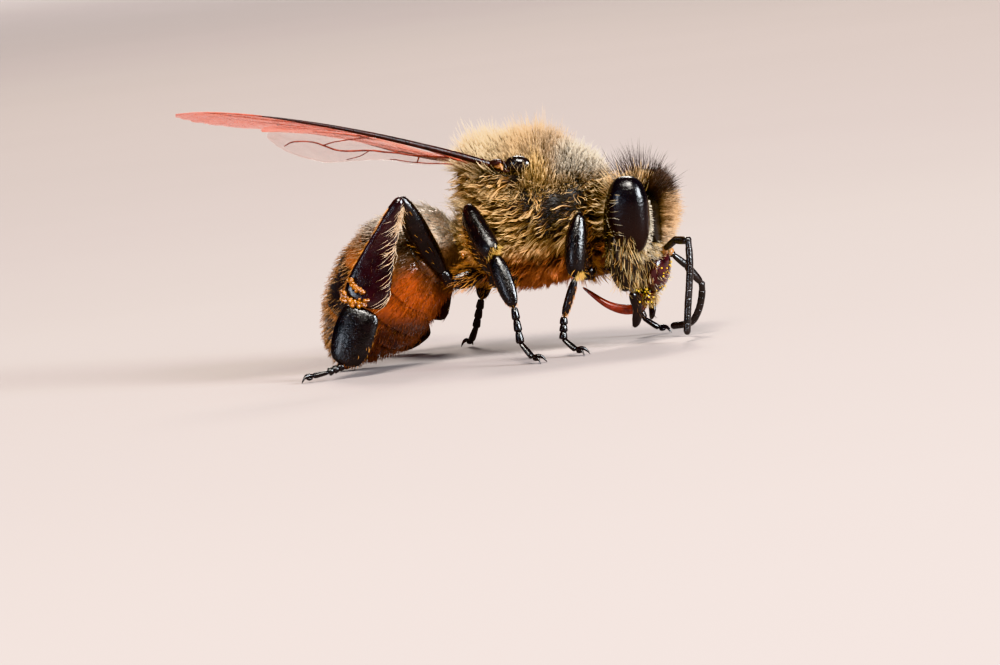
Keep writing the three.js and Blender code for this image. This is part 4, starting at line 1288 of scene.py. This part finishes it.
def abdomen_marking_and_shading(places, facing):
    """Grey-brown in front, then amber rings with dark rear bands, and an orange belly, with painted
    light high up and painted shade low down.
    """
    share = share_along_spine(places)
    ring, within = within_ring(share)
    band_start = np.array(BAND_STARTS)[ring] + 0.05 * np.sin(9 * places[:, 1])
    belly = underside(places, facing, share)
    band = ramp(within, band_start - 0.07, band_start + 0.07) * (1 - 0.8 * belly)
    return lay_colours((150, 84, 40), [
        (1 - ramp(share, 0.22, 0.4), (88, 64, 48)),
        # Paler high on the first ring: partly its own pale colour, partly painted light on its top.
        ((1 - ramp(share, 0.14, 0.22)) * ramp(places[:, 2], 3.2, 3.7), (176, 152, 130)),
        (belly, (172, 72, 11)),
        # Painted shade: the belly darkens low down, towards the floor.
        (belly * ramp(-places[:, 2], -1.9, -1.1), (60, 26, 12)),
        (band, (18, 11, 9)),
        (near(both_sides(places), *GLOSSY_PATCH), (20, 12, 10)),
    ])


TIP_FLAT = 0.004  # the height of the small flat that the abdomen's tip rests on
RING_FINISH = marked_and_shaded_finish("amber ring", 0.16, 0.34, 0.4, Coat_Weight=0.3, Coat_Roughness=0.16)
rings = []
for number, (start, end) in enumerate(zip(RING_ENDS, RING_ENDS[1:])):
    # Each ring's profile as (share of the spine, share of the full girth): a rim tucked under the
    # ring in front, a slope that rises to the rear, and a rolled rear edge.
    profile = [(start - 0.03, 0.86), (start - 0.012, 0.93), (start, 0.952)]
    profile += [(start + (end - start) * step, 0.955 + 0.045 * step ** 0.7)
                for step in (0.15, 0.35, 0.55, 0.75, 0.9, 0.98)]
    profile += [(end + 0.004, 0.992), (end + 0.003, 0.97), (end - 0.015, 0.94)]
    if number == 0:
        profile = [(share, factor) for share, factor in profile if share > 0.01]
        profile.insert(0, (0.0, 1.0))
    if number == 5:
        profile = [(share, factor) for share, factor in profile if share < 0.985]
        profile += [(0.99, 0.8), (0.999, 0.4)]
    stations = [(share * spine_length, factor * size_at(HALF_WIDTH, max(share, 0)),
                 factor * size_at(BACK_HEIGHT, max(share, 0)), 0) for share, factor in profile]
    shell_ring = smooth_out(grow(f"abdomen_ring_{number + 1}", stations, around=40), levels=2)
    for vertex in shell_ring.data.vertices:
        if vertex.co.y < 0:
            share = vertex.co.z / spine_length
            vertex.co.y *= size_at(BELLY_DEPTH, share) / size_at(BACK_HEIGHT, share)
    bend_along(shell_ring, spine_points)
    for vertex in shell_ring.data.vertices:
        vertex.co.z = max(vertex.co.z, TIP_FLAT)
    face_outwards(shell_ring)
    stain(shell_ring, abdomen_marking_and_shading, 1.0)
    shell_ring.data.materials.append(RING_FINISH)
    rings.append(shell_ring)

# Its hair lies back along the rings: long and pale on the first two, thin and dark over the rest,
# and golden on the belly. For each ring: how many hairs, and how long.
RING_HAIR = [(4600, 0.42), (4200, 0.3), (2200, 0.25), (1800, 0.24), (1400, 0.22), (800, 0.18)]
dice = np.random.default_rng(51)
abdomen_coats = {"upper": [], "lower": []}
for number, (shell_ring, (count, long)) in enumerate(zip(rings, RING_HAIR)):

    def ring_growth(places, facing):
        """More hair near each ring's front edge, and none on its hidden rim."""
        share = share_along_spine(places)
        ring, within = within_ring(share)
        off_spine = np.linalg.norm(places - spine_points[spine_stop(share)], axis=1)
        felt = 1.2 * (1 - ramp(within, 0.1, 0.4))
        bare = near(both_sides(places), *GLOSSY_PATCH)
        return (ring == number) * (off_spine > 0.3) * (0.5 + felt) * (1 - 0.95 * bare)

    roots, facing = plant(shell_ring, count, ring_growth, dice)
    share = share_along_spine(roots)
    stop = spine_stop(share)
    belly = underside(roots, facing, share)
    front = 1 - ramp(share, 0.2, 0.45)
    aims = unit(facing * dice.uniform(0.3, 1.0, (count, 1)) + spine_along[stop]
                + dice.normal(0, 0.18, roots.shape))
    length = long * dice.uniform(0.6, 1.2, count)
    drawing, which = gather_in_locks(roots, aims * length[:, None], 0.14, 0.35)
    tones = dice.uniform(0.6, 1.15, which.max() + 1)[which][:, None]
    # Pale on the front rings' top: partly the hair's own pale colour, partly painted light where it
    # faces up.
    pale = np.maximum((1 - ramp(share, 0.14, 0.22)) * ramp(roots[:, 2], 3.2, 3.7),
                      0.9 * front * ramp(facing[:, 2], 0.5, 0.9))
    hair = lay_colours((186, 132, 88), [
        (dice.random(count) * 0.7, (236, 184, 132)),
        (front * 0.95, (86, 58, 40)),
        (belly, (200, 94, 18)),
        (pale, (255, 240, 220)),
        # Painted shade: the belly's hair darkens low down, towards the floor.
        (belly * ramp(-roots[:, 2], -1.9, -1.1) * 0.85, (80, 38, 16)),
    ]) * tones * dice.uniform(0.7, 1.1, (count, 1))
    across_back = roots - spine_points[stop]
    turned = np.arctan2(across_back[:, 1], (across_back * spine_up[stop]).sum(1))
    spots = 0.005 + 0.985 * np.column_stack([turned / (2 * math.pi) + 0.5, share])
    for key, chosen in (("upper", facing[:, 2] > 0), ("lower", facing[:, 2] <= 0)):
        # Each hair is half as bright at its root, as painted shade.
        abdomen_coats[key].append(strands(
            roots[chosen], aims[chosen], length[chosen], drawing[chosen], 0.0085,
            (hair[chosen] * 0.5, hair[chosen]), spots[chosen], 2, dice))
for number, shell_ring in enumerate(rings):
    set_down(shell_ring, "amber_cuticle", f"abdomen_{number + 1}")
for key, batches in abdomen_coats.items():
    set_down(weave(f"abdomen_hair_{key}", batches), "amber_cuticle")

# ---- Legs -------------------------------------------------------------------------------------
# Six jointed legs of hollow black shell: hip, thigh, shin, a long first foot joint and four small
# ones with a pair of claws. Bristles point down each joint. The hind shins are broad and dished.

# Joints from hip to claws as (forward, out from the middle, up): hip, thigh root, knee, end of
# shin, end of first foot joint, ankle, claw root.
LEGS = {
    "foreleg_right": [(1.3, 0.45, 2.55), (1.62, 0.82, 2.1), (1.87, 2.12, 4.04), (1.6, 2.38, 2.2),
                      (1.16, 2.46, 1.14), (1.08, 2.5, 0.52), (1.42, 2.56, 0.2)],
    "foreleg_left": [(1.3, 0.45, 2.55), (1.62, 0.82, 2.1), (1.95, 2.15, 4.0), (2.1, 2.5, 2.2),
                     (2.0, 2.7, 1.14), (2.05, 2.8, 0.52), (2.42, 2.95, 0.2)],
    "midleg_right": [(-0.45, 0.5, 2.5), (-1.12, 1.0, 2.15), (-1.27, 2.6, 4.57), (-0.41, 3.4, 3.14),
                     (0.1, 3.72, 1.62), (0.2, 3.84, 0.62), (0.52, 3.92, 0.2)],
    "midleg_left": [(-0.45, 0.5, 2.5), (-1.12, 1.0, 2.15), (-1.8, 2.7, 4.4), (-2.5, 3.6, 2.85),
                    (-3.1, 4.15, 1.4), (-3.42, 4.4, 0.6), (-3.7, 4.72, 0.2)],
    "hindleg_right": [(-1.55, 0.5, 2.55), (-2.45, 1.1, 2.3), (-3.2, 2.45, 4.98), (-4.6, 2.8, 1.97),
                      (-5.28, 3.02, 0.38), (-5.72, 3.13, 0.25), (-6.14, 3.24, 0.19)],
    "hindleg_left": [(-1.55, 0.5, 2.55), (-2.45, 1.1, 2.3), (-3.3, 3.45, 3.85), (-4.85, 4.1, 1.05),
                     (-6.25, 4.65, 0.42), (-6.57, 4.8, 0.24), (-6.93, 4.95, 0.19)],
}
# Half widths and half depths along each joint, for each pair.
SHAPES = {
    "fore": {"thigh": ([0.16, 0.27, 0.27, 0.17], None),
             "shin": ([0.17, 0.31, 0.34, 0.26], [0.16, 0.26, 0.29, 0.22]),
             "foot": ([0.1, 0.13, 0.125, 0.11], None)},
    "mid": {"thigh": ([0.16, 0.3, 0.29, 0.17], None),
            "shin": ([0.22, 0.32, 0.36, 0.32], [0.17, 0.22, 0.24, 0.2]),
            "foot": ([0.22, 0.29, 0.28, 0.18], [0.12, 0.15, 0.14, 0.1])},
    "hind": {"thigh": ([0.2, 0.36, 0.38, 0.2], [0.18, 0.26, 0.26, 0.18]),
             "shin": ([0.17, 0.26, 0.38, 0.54, 0.68, 0.72], [0.15, 0.19, 0.19, 0.18, 0.17, 0.15]),
             "foot": ([0.54, 0.62, 0.64, 0.58, 0.4], [0.12, 0.16, 0.17, 0.14, 0.1])},
}
SMALL_JOINTS = 3  # between the long first foot joint and the one that bears the claws
CLAW_SPREAD = 0.5
CLAW_REACH = 0.4
CLAW_TIP_HEIGHT = 0.012
DISH_DEPTH = 0.13  # of the hind shin's outer face
LEG_SHELL = shell_finish("leg shell", (14, 10, 10), (5, 4, 4), 0.12, 0.32, 0.7, 4000.0,
                         Coat_Weight=0.12, Coat_Roughness=0.12, Specular_IOR_Level=0.4)
HIND_SHELL = shell_finish("hind shin shell", (27, 7, 9), (6, 4, 4), 0.12, 0.3, 0.45, 1300.0,
                          Coat_Weight=0.3, Coat_Roughness=0.1)

small_joint = smooth_out(grow("small_joint", [
    (-0.03, 0.6, 0.58, 0), (0.12, 0.8, 0.75, 0), (0.6, 0.94, 0.86, 0), (0.88, 1.0, 0.92, 0),
    (1.0, 0.86, 0.8, 0), (1.05, 0.55, 0.5, 0)], 12))
claw = smooth_out(grow("claw", [
    (0.0, 0.1, 0.09, 0), (0.2, 0.1, 0.09, 0.1), (0.45, 0.085, 0.075, 0.16), (0.7, 0.06, 0.05, 0.13),
    (0.9, 0.03, 0.03, 0.05), (1.0, 0.01, 0.01, 0)], 10))


def bristles(piece, ends, count, length, stand, tones, strip, dice, growth=None, lean=(0, 0, 0),
             curl=(0, 0, 0), gauge=0.0085, loose=0.14):
    """Hairs on one joint, lying towards its far end; strip is its share of the leg's unwrap."""
    roots, facing = plant(piece, count, growth or (lambda p, n: np.ones(len(p))), dice)
    start, end = (np.array(place) for place in ends)
    axis = unit(end - start)
    aims = unit(facing * stand + axis + np.array(lean) + dice.normal(0, loose, roots.shape))
    lengths = length * dice.uniform(0.6, 1.25, count)
    bends = (np.array(curl) - facing * 0.12) * lengths[:, None]
    colours = lay_colours(tones[0], [(dice.random(count), tones[1])])
    share = np.clip(((roots - start) @ axis) / np.linalg.norm(end - start), 0, 1)
    turned = np.arctan2(facing[:, 0], facing[:, 1]) / (2 * math.pi) + 0.5
    low, high = strip
    spots = np.column_stack([low + (high - low - PATCH) * turned, 0.005 + 0.985 * share])
    # Each bristle is darker towards its root, as painted shade.
    return strands(roots, aims, lengths, bends, gauge, (colours * 0.6, colours), spots, 3, dice)


def underneath(places, facing):
    """Grows hair on the lower side only."""
    return ramp(-facing[:, 2], 0.0, 0.5)


DARK_TONES, GOLDEN_TONES = ((70, 46, 32), (30, 20, 16)), ((240, 166, 84), (160, 94, 44))
CREAM_TONES, YELLOW_TONES = ((255, 234, 206), (244, 196, 150)), ((250, 216, 130), (222, 160, 74))
for number, (leg, joints) in enumerate(LEGS.items()):
    dice = np.random.default_rng(61 + number)
    pair, side = leg.split("leg_")[0], SIDES[leg.split("_")[1]]
    shapes = SHAPES[pair]
    hip, root, knee, shin_end, foot_end, ankle, claw_root = (
        Vector((x, side * y, z)) for x, y, z in joints)
    coxa = limb(f"{leg}_hip", hip, root, (0.3, 0.34, 0.24))
    trochanter = limb(f"{leg}_ring", root + (root - knee) * 0.03, root.lerp(knee, 0.16),
                      (0.17, 0.2, 0.17))
    thigh = limb(f"{leg}_thigh", root.lerp(knee, 0.1), knee, *shapes["thigh"], bow=-0.1)
    bluntness = 20 if pair == "hind" else 8
    shin = limb(f"{leg}_shin", knee, shin_end, *shapes["shin"], bow=0.05, bluntness=bluntness)
    foot = limb(f"{leg}_foot", shin_end, foot_end, *shapes["foot"], bluntness=bluntness)
    axis = (shin_end - knee).normalized()

    def down_shin(places):
        """How far down the shin each place lies, from 0 at the knee to 1 at the foot."""
        return (places - np.array(knee)) @ np.array(axis) / (shin_end - knee).length

    if pair == "hind":
        front = (knee - shin_end).cross(Vector((0, 1, 0))).normalized()
        front = front if front.x > 0 else -front
        for vertex in shin.data.vertices:
            offset = vertex.co - knee
            share = offset.dot(axis) / (shin_end - knee).length
            reach = abs(offset.dot(front)) / size_at(shapes["shin"][0], share)
            if (offset - axis * offset.dot(axis)).y * side > 0 and reach < 1:
                dish = (1 - reach ** 2) * math.sin(math.pi * min(max(share, 0), 1))
                vertex.co.y -= side * DISH_DEPTH * dish
        shin.data.update()
    toes = []
    steps = [foot_end.lerp(ankle, step / SMALL_JOINTS) for step in range(SMALL_JOINTS + 1)]
    for low, high in zip(steps, steps[1:]):
        toes.append(copy_at(small_joint, "toe", stand_between(low, high, (0, 1, 0)) @ Matrix.Diagonal(
            (0.13, 0.12, (high - low).length, 1))))
    toes.append(copy_at(small_joint, "toe", stand_between(ankle, claw_root, (0, 0, 1))
                        @ Matrix.Diagonal((0.12, 0.1, (claw_root - ankle).length, 1))))
    heading = claw_root - ankle
    heading.z = 0
    for spread in (-CLAW_SPREAD, CLAW_SPREAD):
        reach = Matrix.Rotation(spread, 3, "Z") @ heading.normalized() * CLAW_REACH
        tip = Vector((claw_root.x + reach.x, claw_root.y + reach.y, CLAW_TIP_HEIGHT))
        lift = reach.cross(Vector((0, 0, 1)))
        toes.append(copy_at(claw, "claw", stand_between(claw_root, tip, lift) @ Matrix.Diagonal(
            (0.7, 0.7, (tip - claw_root).length, 1))))
    toes.append(lump(claw_root + heading.normalized() * 0.12 - Vector((0, 0, 0.06)),
                     (0.1, 0.1, 0.06), 0, 8))
    leg_hair = [
        bristles(coxa, (hip, root), 200, 0.34, 0.6, GOLDEN_TONES, (0.0, 0.15), dice),
        bristles(thigh, (root, knee), 150, 0.14, 0.4, DARK_TONES, (0.15, 0.3), dice),
        bristles(thigh, (root, knee), 12 if pair == "hind" else 130, 0.3, 0.9, GOLDEN_TONES,
                 (0.15, 0.3), dice, underneath, gauge=0.007),
        bristles(shin, (knee, shin_end), 90, 0.12, 0.35, DARK_TONES, (0.3, 0.5), dice),
        bristles(foot, (shin_end, foot_end), 70, 0.1, 0.4, GOLDEN_TONES, (0.5, 0.65), dice,
                 underneath, gauge=0.005),
        bristles(foot, (shin_end, foot_end), 40, 0.08, 0.3, DARK_TONES, (0.5, 0.65), dice,
                 gauge=0.005),
    ]
    if pair != "hind":
        # A tuft of pale hair closes round the end of the shin; the fore one cleans the feelers.
        def shin_tip(places, facing):
            return ramp(down_shin(places), 0.86, 0.93) * (0.05 + ramp(facing[:, 0], -0.2, 0.6))

        leg_hair.append(bristles(shin, (knee, shin_end), 80, 0.19, 0.6, YELLOW_TONES, (0.86, 0.98),
                                 dice, shin_tip, gauge=0.0065, loose=0.35))
    if pair == "hind":
        # The pollen basket's fringe: long pale hairs curve from the front edge back over the dish.
        edge, outward = np.array(front), np.array((0, side, 0))

        def front_edge(places, facing):
            along = down_shin(places)
            return ramp(facing @ edge, 0.6, 0.9) * ramp(along, 0.08, 0.2) * (1.25 - along)

        def rear_edge(places, facing):
            return ramp(facing @ -edge, 0.6, 0.9)

        def near_knee(places, facing):
            along = down_shin(places)
            return ramp(facing @ edge, 0.3, 0.8) * ramp(along, 0.02, 0.06) * (1 - ramp(along, 0.2, 0.34))

        ends = (knee, shin_end)
        leg_hair += [
            bristles(shin, ends, 75, 0.55, 0.3, CREAM_TONES, (0.66, 0.76), dice, front_edge,
                     outward * 0.3 - edge * 0.1, outward * 0.12 - edge * 0.45, 0.0068, 0.28),
            bristles(shin, ends, 90, 0.34, 0.5, CREAM_TONES, (0.76, 0.86), dice, near_knee,
                     outward * 0.5, gauge=0.0052, loose=0.34),
            bristles(shin, ends, 90, 0.2, 0.5, GOLDEN_TONES, (0.86, 0.98), dice, rear_edge),
        ]
    thigh = join(f"{leg}_thigh", [thigh, trochanter])
    toes = join(f"{leg}_toes", toes)
    for piece, node in ((coxa, "coxa"), (thigh, "femur"), (shin, "tibia"), (foot, "basitarsus"),
                        (toes, "tarsus")):
        piece.data.materials.append(HIND_SHELL if (pair, node) == ("hind", "tibia") else LEG_SHELL)
        set_down(piece, "black_cuticle", f"{leg}_{node}")
    set_down(weave(f"{leg}_bristles", leg_hair), "black_cuticle")
bpy.data.objects.remove(small_joint)
bpy.data.objects.remove(claw)

# ---- Pollen -----------------------------------------------------------------------------------
# Grains and crumbs of pollen that the bee has picked up: yellow grains on the face, and an
# amber load begun in the lower end of the right pollen basket. They stick by their own oil.

YELLOW_POLLEN, tree, shader = new_finish("yellow pollen", Subsurface_Weight=0.2,
                                         Subsurface_Scale=0.00004)
tint = use_group(tree, mottle, Light=paint(250, 214, 40), Dark=paint(226, 168, 22), Scale=16000.0)
grain = use_group(tree, shell_grain, Pit_Scale=60000.0, Pit_Depth=0.6, Polish=0.4, Dullness=0.7)
feed(tree, shader, Base_Color=tint["Color"], Roughness=grain["Roughness"], Normal=grain["Normal"])
AMBER_POLLEN = shell_finish("amber pollen", (146, 84, 0), (74, 32, 0), 0.12, 0.34, 0.6, 9000.0,
                            Coat_Weight=0.5, Coat_Roughness=0.12)

bpy.ops.object.select_all(action="DESELECT")
bpy.ops.mesh.primitive_ico_sphere_add(subdivisions=2, radius=1)
grain_shape = settle(bpy.context.object, "pollen_grain")
bpy.ops.object.shade_smooth()


def scatter(name, spots, sizes, material, dice, squash=(0.75, 1.2)):
    """A joined scatter of crumbs, each a little squashed and turned its own way."""
    crumbs = []
    for spot, size in zip(spots, sizes):
        turn = Matrix.Rotation(dice.uniform(0, 6.28), 4, Vector(dice.normal(0, 1, 3)))
        squashed = Matrix.Diagonal((*(size * dice.uniform(*squash, 3)), 1))
        crumbs.append(copy_at(grain_shape, "crumb", Matrix.Translation(Vector(spot)) @ turn @ squashed))
    pile = join(name, crumbs)
    pile.data.materials.append(material)
    return pile


dice = np.random.default_rng(71)
face_grains = []
for _ in range(30):
    angle, height = dice.uniform(-1.3, 1.3), dice.uniform(-0.75, 0.55)
    reach = math.sqrt(1 - height ** 2)
    spot = Vector((0.37 * reach * math.cos(angle), 0.61 * reach * math.sin(angle), 0.73 * height))
    face_grains.append(Matrix.Rotation(0.36, 3, "Y") @ spot + Vector((3.36, 0, 2.02)))
for _ in range(26):
    face_grains.append(Vector((dice.uniform(2.85, 3.3), dice.uniform(-0.75, -0.35),
                               dice.uniform(1.15, 1.6))))
face_pollen = scatter("face_pollen", face_grains, dice.uniform(0.01, 0.026, len(face_grains)),
                      YELLOW_POLLEN, dice)

# The load is a rim of crumbs along the shin's lower edge, and a small clump above it.
RIM_LINE = [(-5.15, -2.93, 2.42), (-5.06, -2.94, 2.24), (-4.86, -2.94, 2.1), (-4.62, -2.93, 2.04),
            (-4.44, -2.92, 2.12)]
CLUMP_LINE = [(-4.84, -2.92, 2.76), (-4.75, -2.92, 2.62), (-4.64, -2.92, 2.5), (-4.55, -2.92, 2.38)]
load = np.vstack([points_along(RIM_LINE, 44), points_along(RIM_LINE, 36) + (0.02, 0.0, 0.07),
                  points_along(CLUMP_LINE, 30)])
load += dice.normal(0, (0.035, 0.012, 0.035), load.shape)
basket_pollen = scatter("basket_pollen", load, dice.uniform(0.03, 0.075, len(load)), AMBER_POLLEN,
                        dice, (0.6, 1.3))
thigh_crumbs = scatter("thigh_crumbs", [(-1.72, -1.98, 3.13), (-1.74, -1.95, 3.05)], (0.07, 0.05),
                       AMBER_POLLEN, dice)
bpy.data.objects.remove(grain_shape)
set_down(face_pollen, "face_coat")
set_down(basket_pollen, "amber_cuticle")
set_down(thigh_crumbs, "amber_cuticle")

# ---- Studio -----------------------------------------------------------------------------------
# A plain pale sweep under soft lamps. It isn't part of the model.

CAMERA_AZIMUTH, CAMERA_ELEVATION, CAMERA_ROLL = map(math.radians, (16.0, 4.0, 6.5))
CAMERA_AWAY = 0.24
SENSOR_WIDTH = 36.0
PICTURE_PIXELS, PIXELS_TO_MM = 1000, 35.0
PICTURE_WIDTH = PICTURE_PIXELS / PIXELS_TO_MM * MM  # what the view spans at the bee
AIM = BENCH_PLACE + Vector((-1.46, 0.0, 0.69)) * MM

bpy.ops.object.select_all(action="DESELECT")
bpy.ops.mesh.primitive_plane_add(size=8.0, location=(0, 0, 0))
sweep = settle(bpy.context.object, "studio_floor")
floor_finish, tree, shader = new_finish("studio floor", Roughness=0.85)
tint = use_group(tree, mottle, Light=paint(142, 132, 130), Dark=paint(141, 131, 129), Scale=40.0)
feed(tree, shader, Base_Color=tint["Color"])
sweep.data.materials.append(floor_finish)

camera_data = bpy.data.cameras.new("camera")
camera_data.sensor_width = SENSOR_WIDTH
camera_data.lens = SENSOR_WIDTH * CAMERA_AWAY / PICTURE_WIDTH
camera_data.clip_start = 0.005
camera_data.clip_end = 5.0
camera = bpy.data.objects.new("camera", camera_data)
bpy.context.scene.collection.objects.link(camera)
back = Vector((math.sin(CAMERA_AZIMUTH) * math.cos(CAMERA_ELEVATION),
               -math.cos(CAMERA_AZIMUTH) * math.cos(CAMERA_ELEVATION), math.sin(CAMERA_ELEVATION)))
level = Vector((math.cos(CAMERA_AZIMUTH), math.sin(CAMERA_AZIMUTH), 0))
rise = back.cross(level)
right = level * math.cos(CAMERA_ROLL) - rise * math.sin(CAMERA_ROLL)
top = level * math.sin(CAMERA_ROLL) + rise * math.cos(CAMERA_ROLL)
camera.matrix_world = (Matrix.Translation(AIM + back * CAMERA_AWAY)
                       @ Matrix((right, top, back)).transposed().to_4x4())
bpy.context.scene.camera = camera


def soft_lamp(name, direction, away, size, power, colour):
    """A soft lamp, so wide and so tall, that looks at the bee from a direction."""
    data = bpy.data.lights.new(name, "AREA")
    data.shape = "RECTANGLE"
    data.size, data.size_y = size
    data.energy = power
    data.color = colour
    lamp = bpy.data.objects.new(name, data)
    bpy.context.scene.collection.objects.link(lamp)
    lamp.location = Vector(direction).normalized() * away + Vector((0, 0, 0.004))
    lamp.rotation_euler = Vector(direction).to_track_quat("Z", "Y").to_euler()
    return lamp


soft_lamp("key_lamp", (0.1, -1.0, 1.05), 0.38, (0.12, 0.12), 2.8, (1.0, 0.95, 0.88))
soft_lamp("rear_lamp", (-0.5, -0.86, 0.12), 0.3, (0.04, 0.06), 0.16, (0.8, 0.88, 1.0))
soft_lamp("back_lamp", (-0.2, 0.9, 0.9), 0.38, (0.12, 0.12), 1.6, (1.0, 0.94, 0.86))
soft_lamp("front_lamp", (0.84, -0.46, 0.3), 0.3, (0.1, 0.1), 2.7, (0.9, 0.95, 1.0))
# The last lamp hangs over the floor behind the bee and looks straight down at it.
sweep_lamp = soft_lamp("sweep_lamp", (0, 0, 1), 0.35, (0.6, 0.5), 4.5, (1.0, 0.97, 0.94))
sweep_lamp.location = (-0.27, 0.72, 0.35)
sweep_lamp.rotation_euler = (0, 0, 0)
sweep_lamp.data.spread = math.radians(100)
world = bpy.data.worlds.new("studio")
world.use_nodes = True
world.node_tree.nodes["Background"].inputs["Color"].default_value = paint(232, 234, 240)
world.node_tree.nodes["Background"].inputs["Strength"].default_value = 0.2
bpy.context.scene.world = world
bpy.context.scene.view_settings.view_transform = "Khronos PBR Neutral"
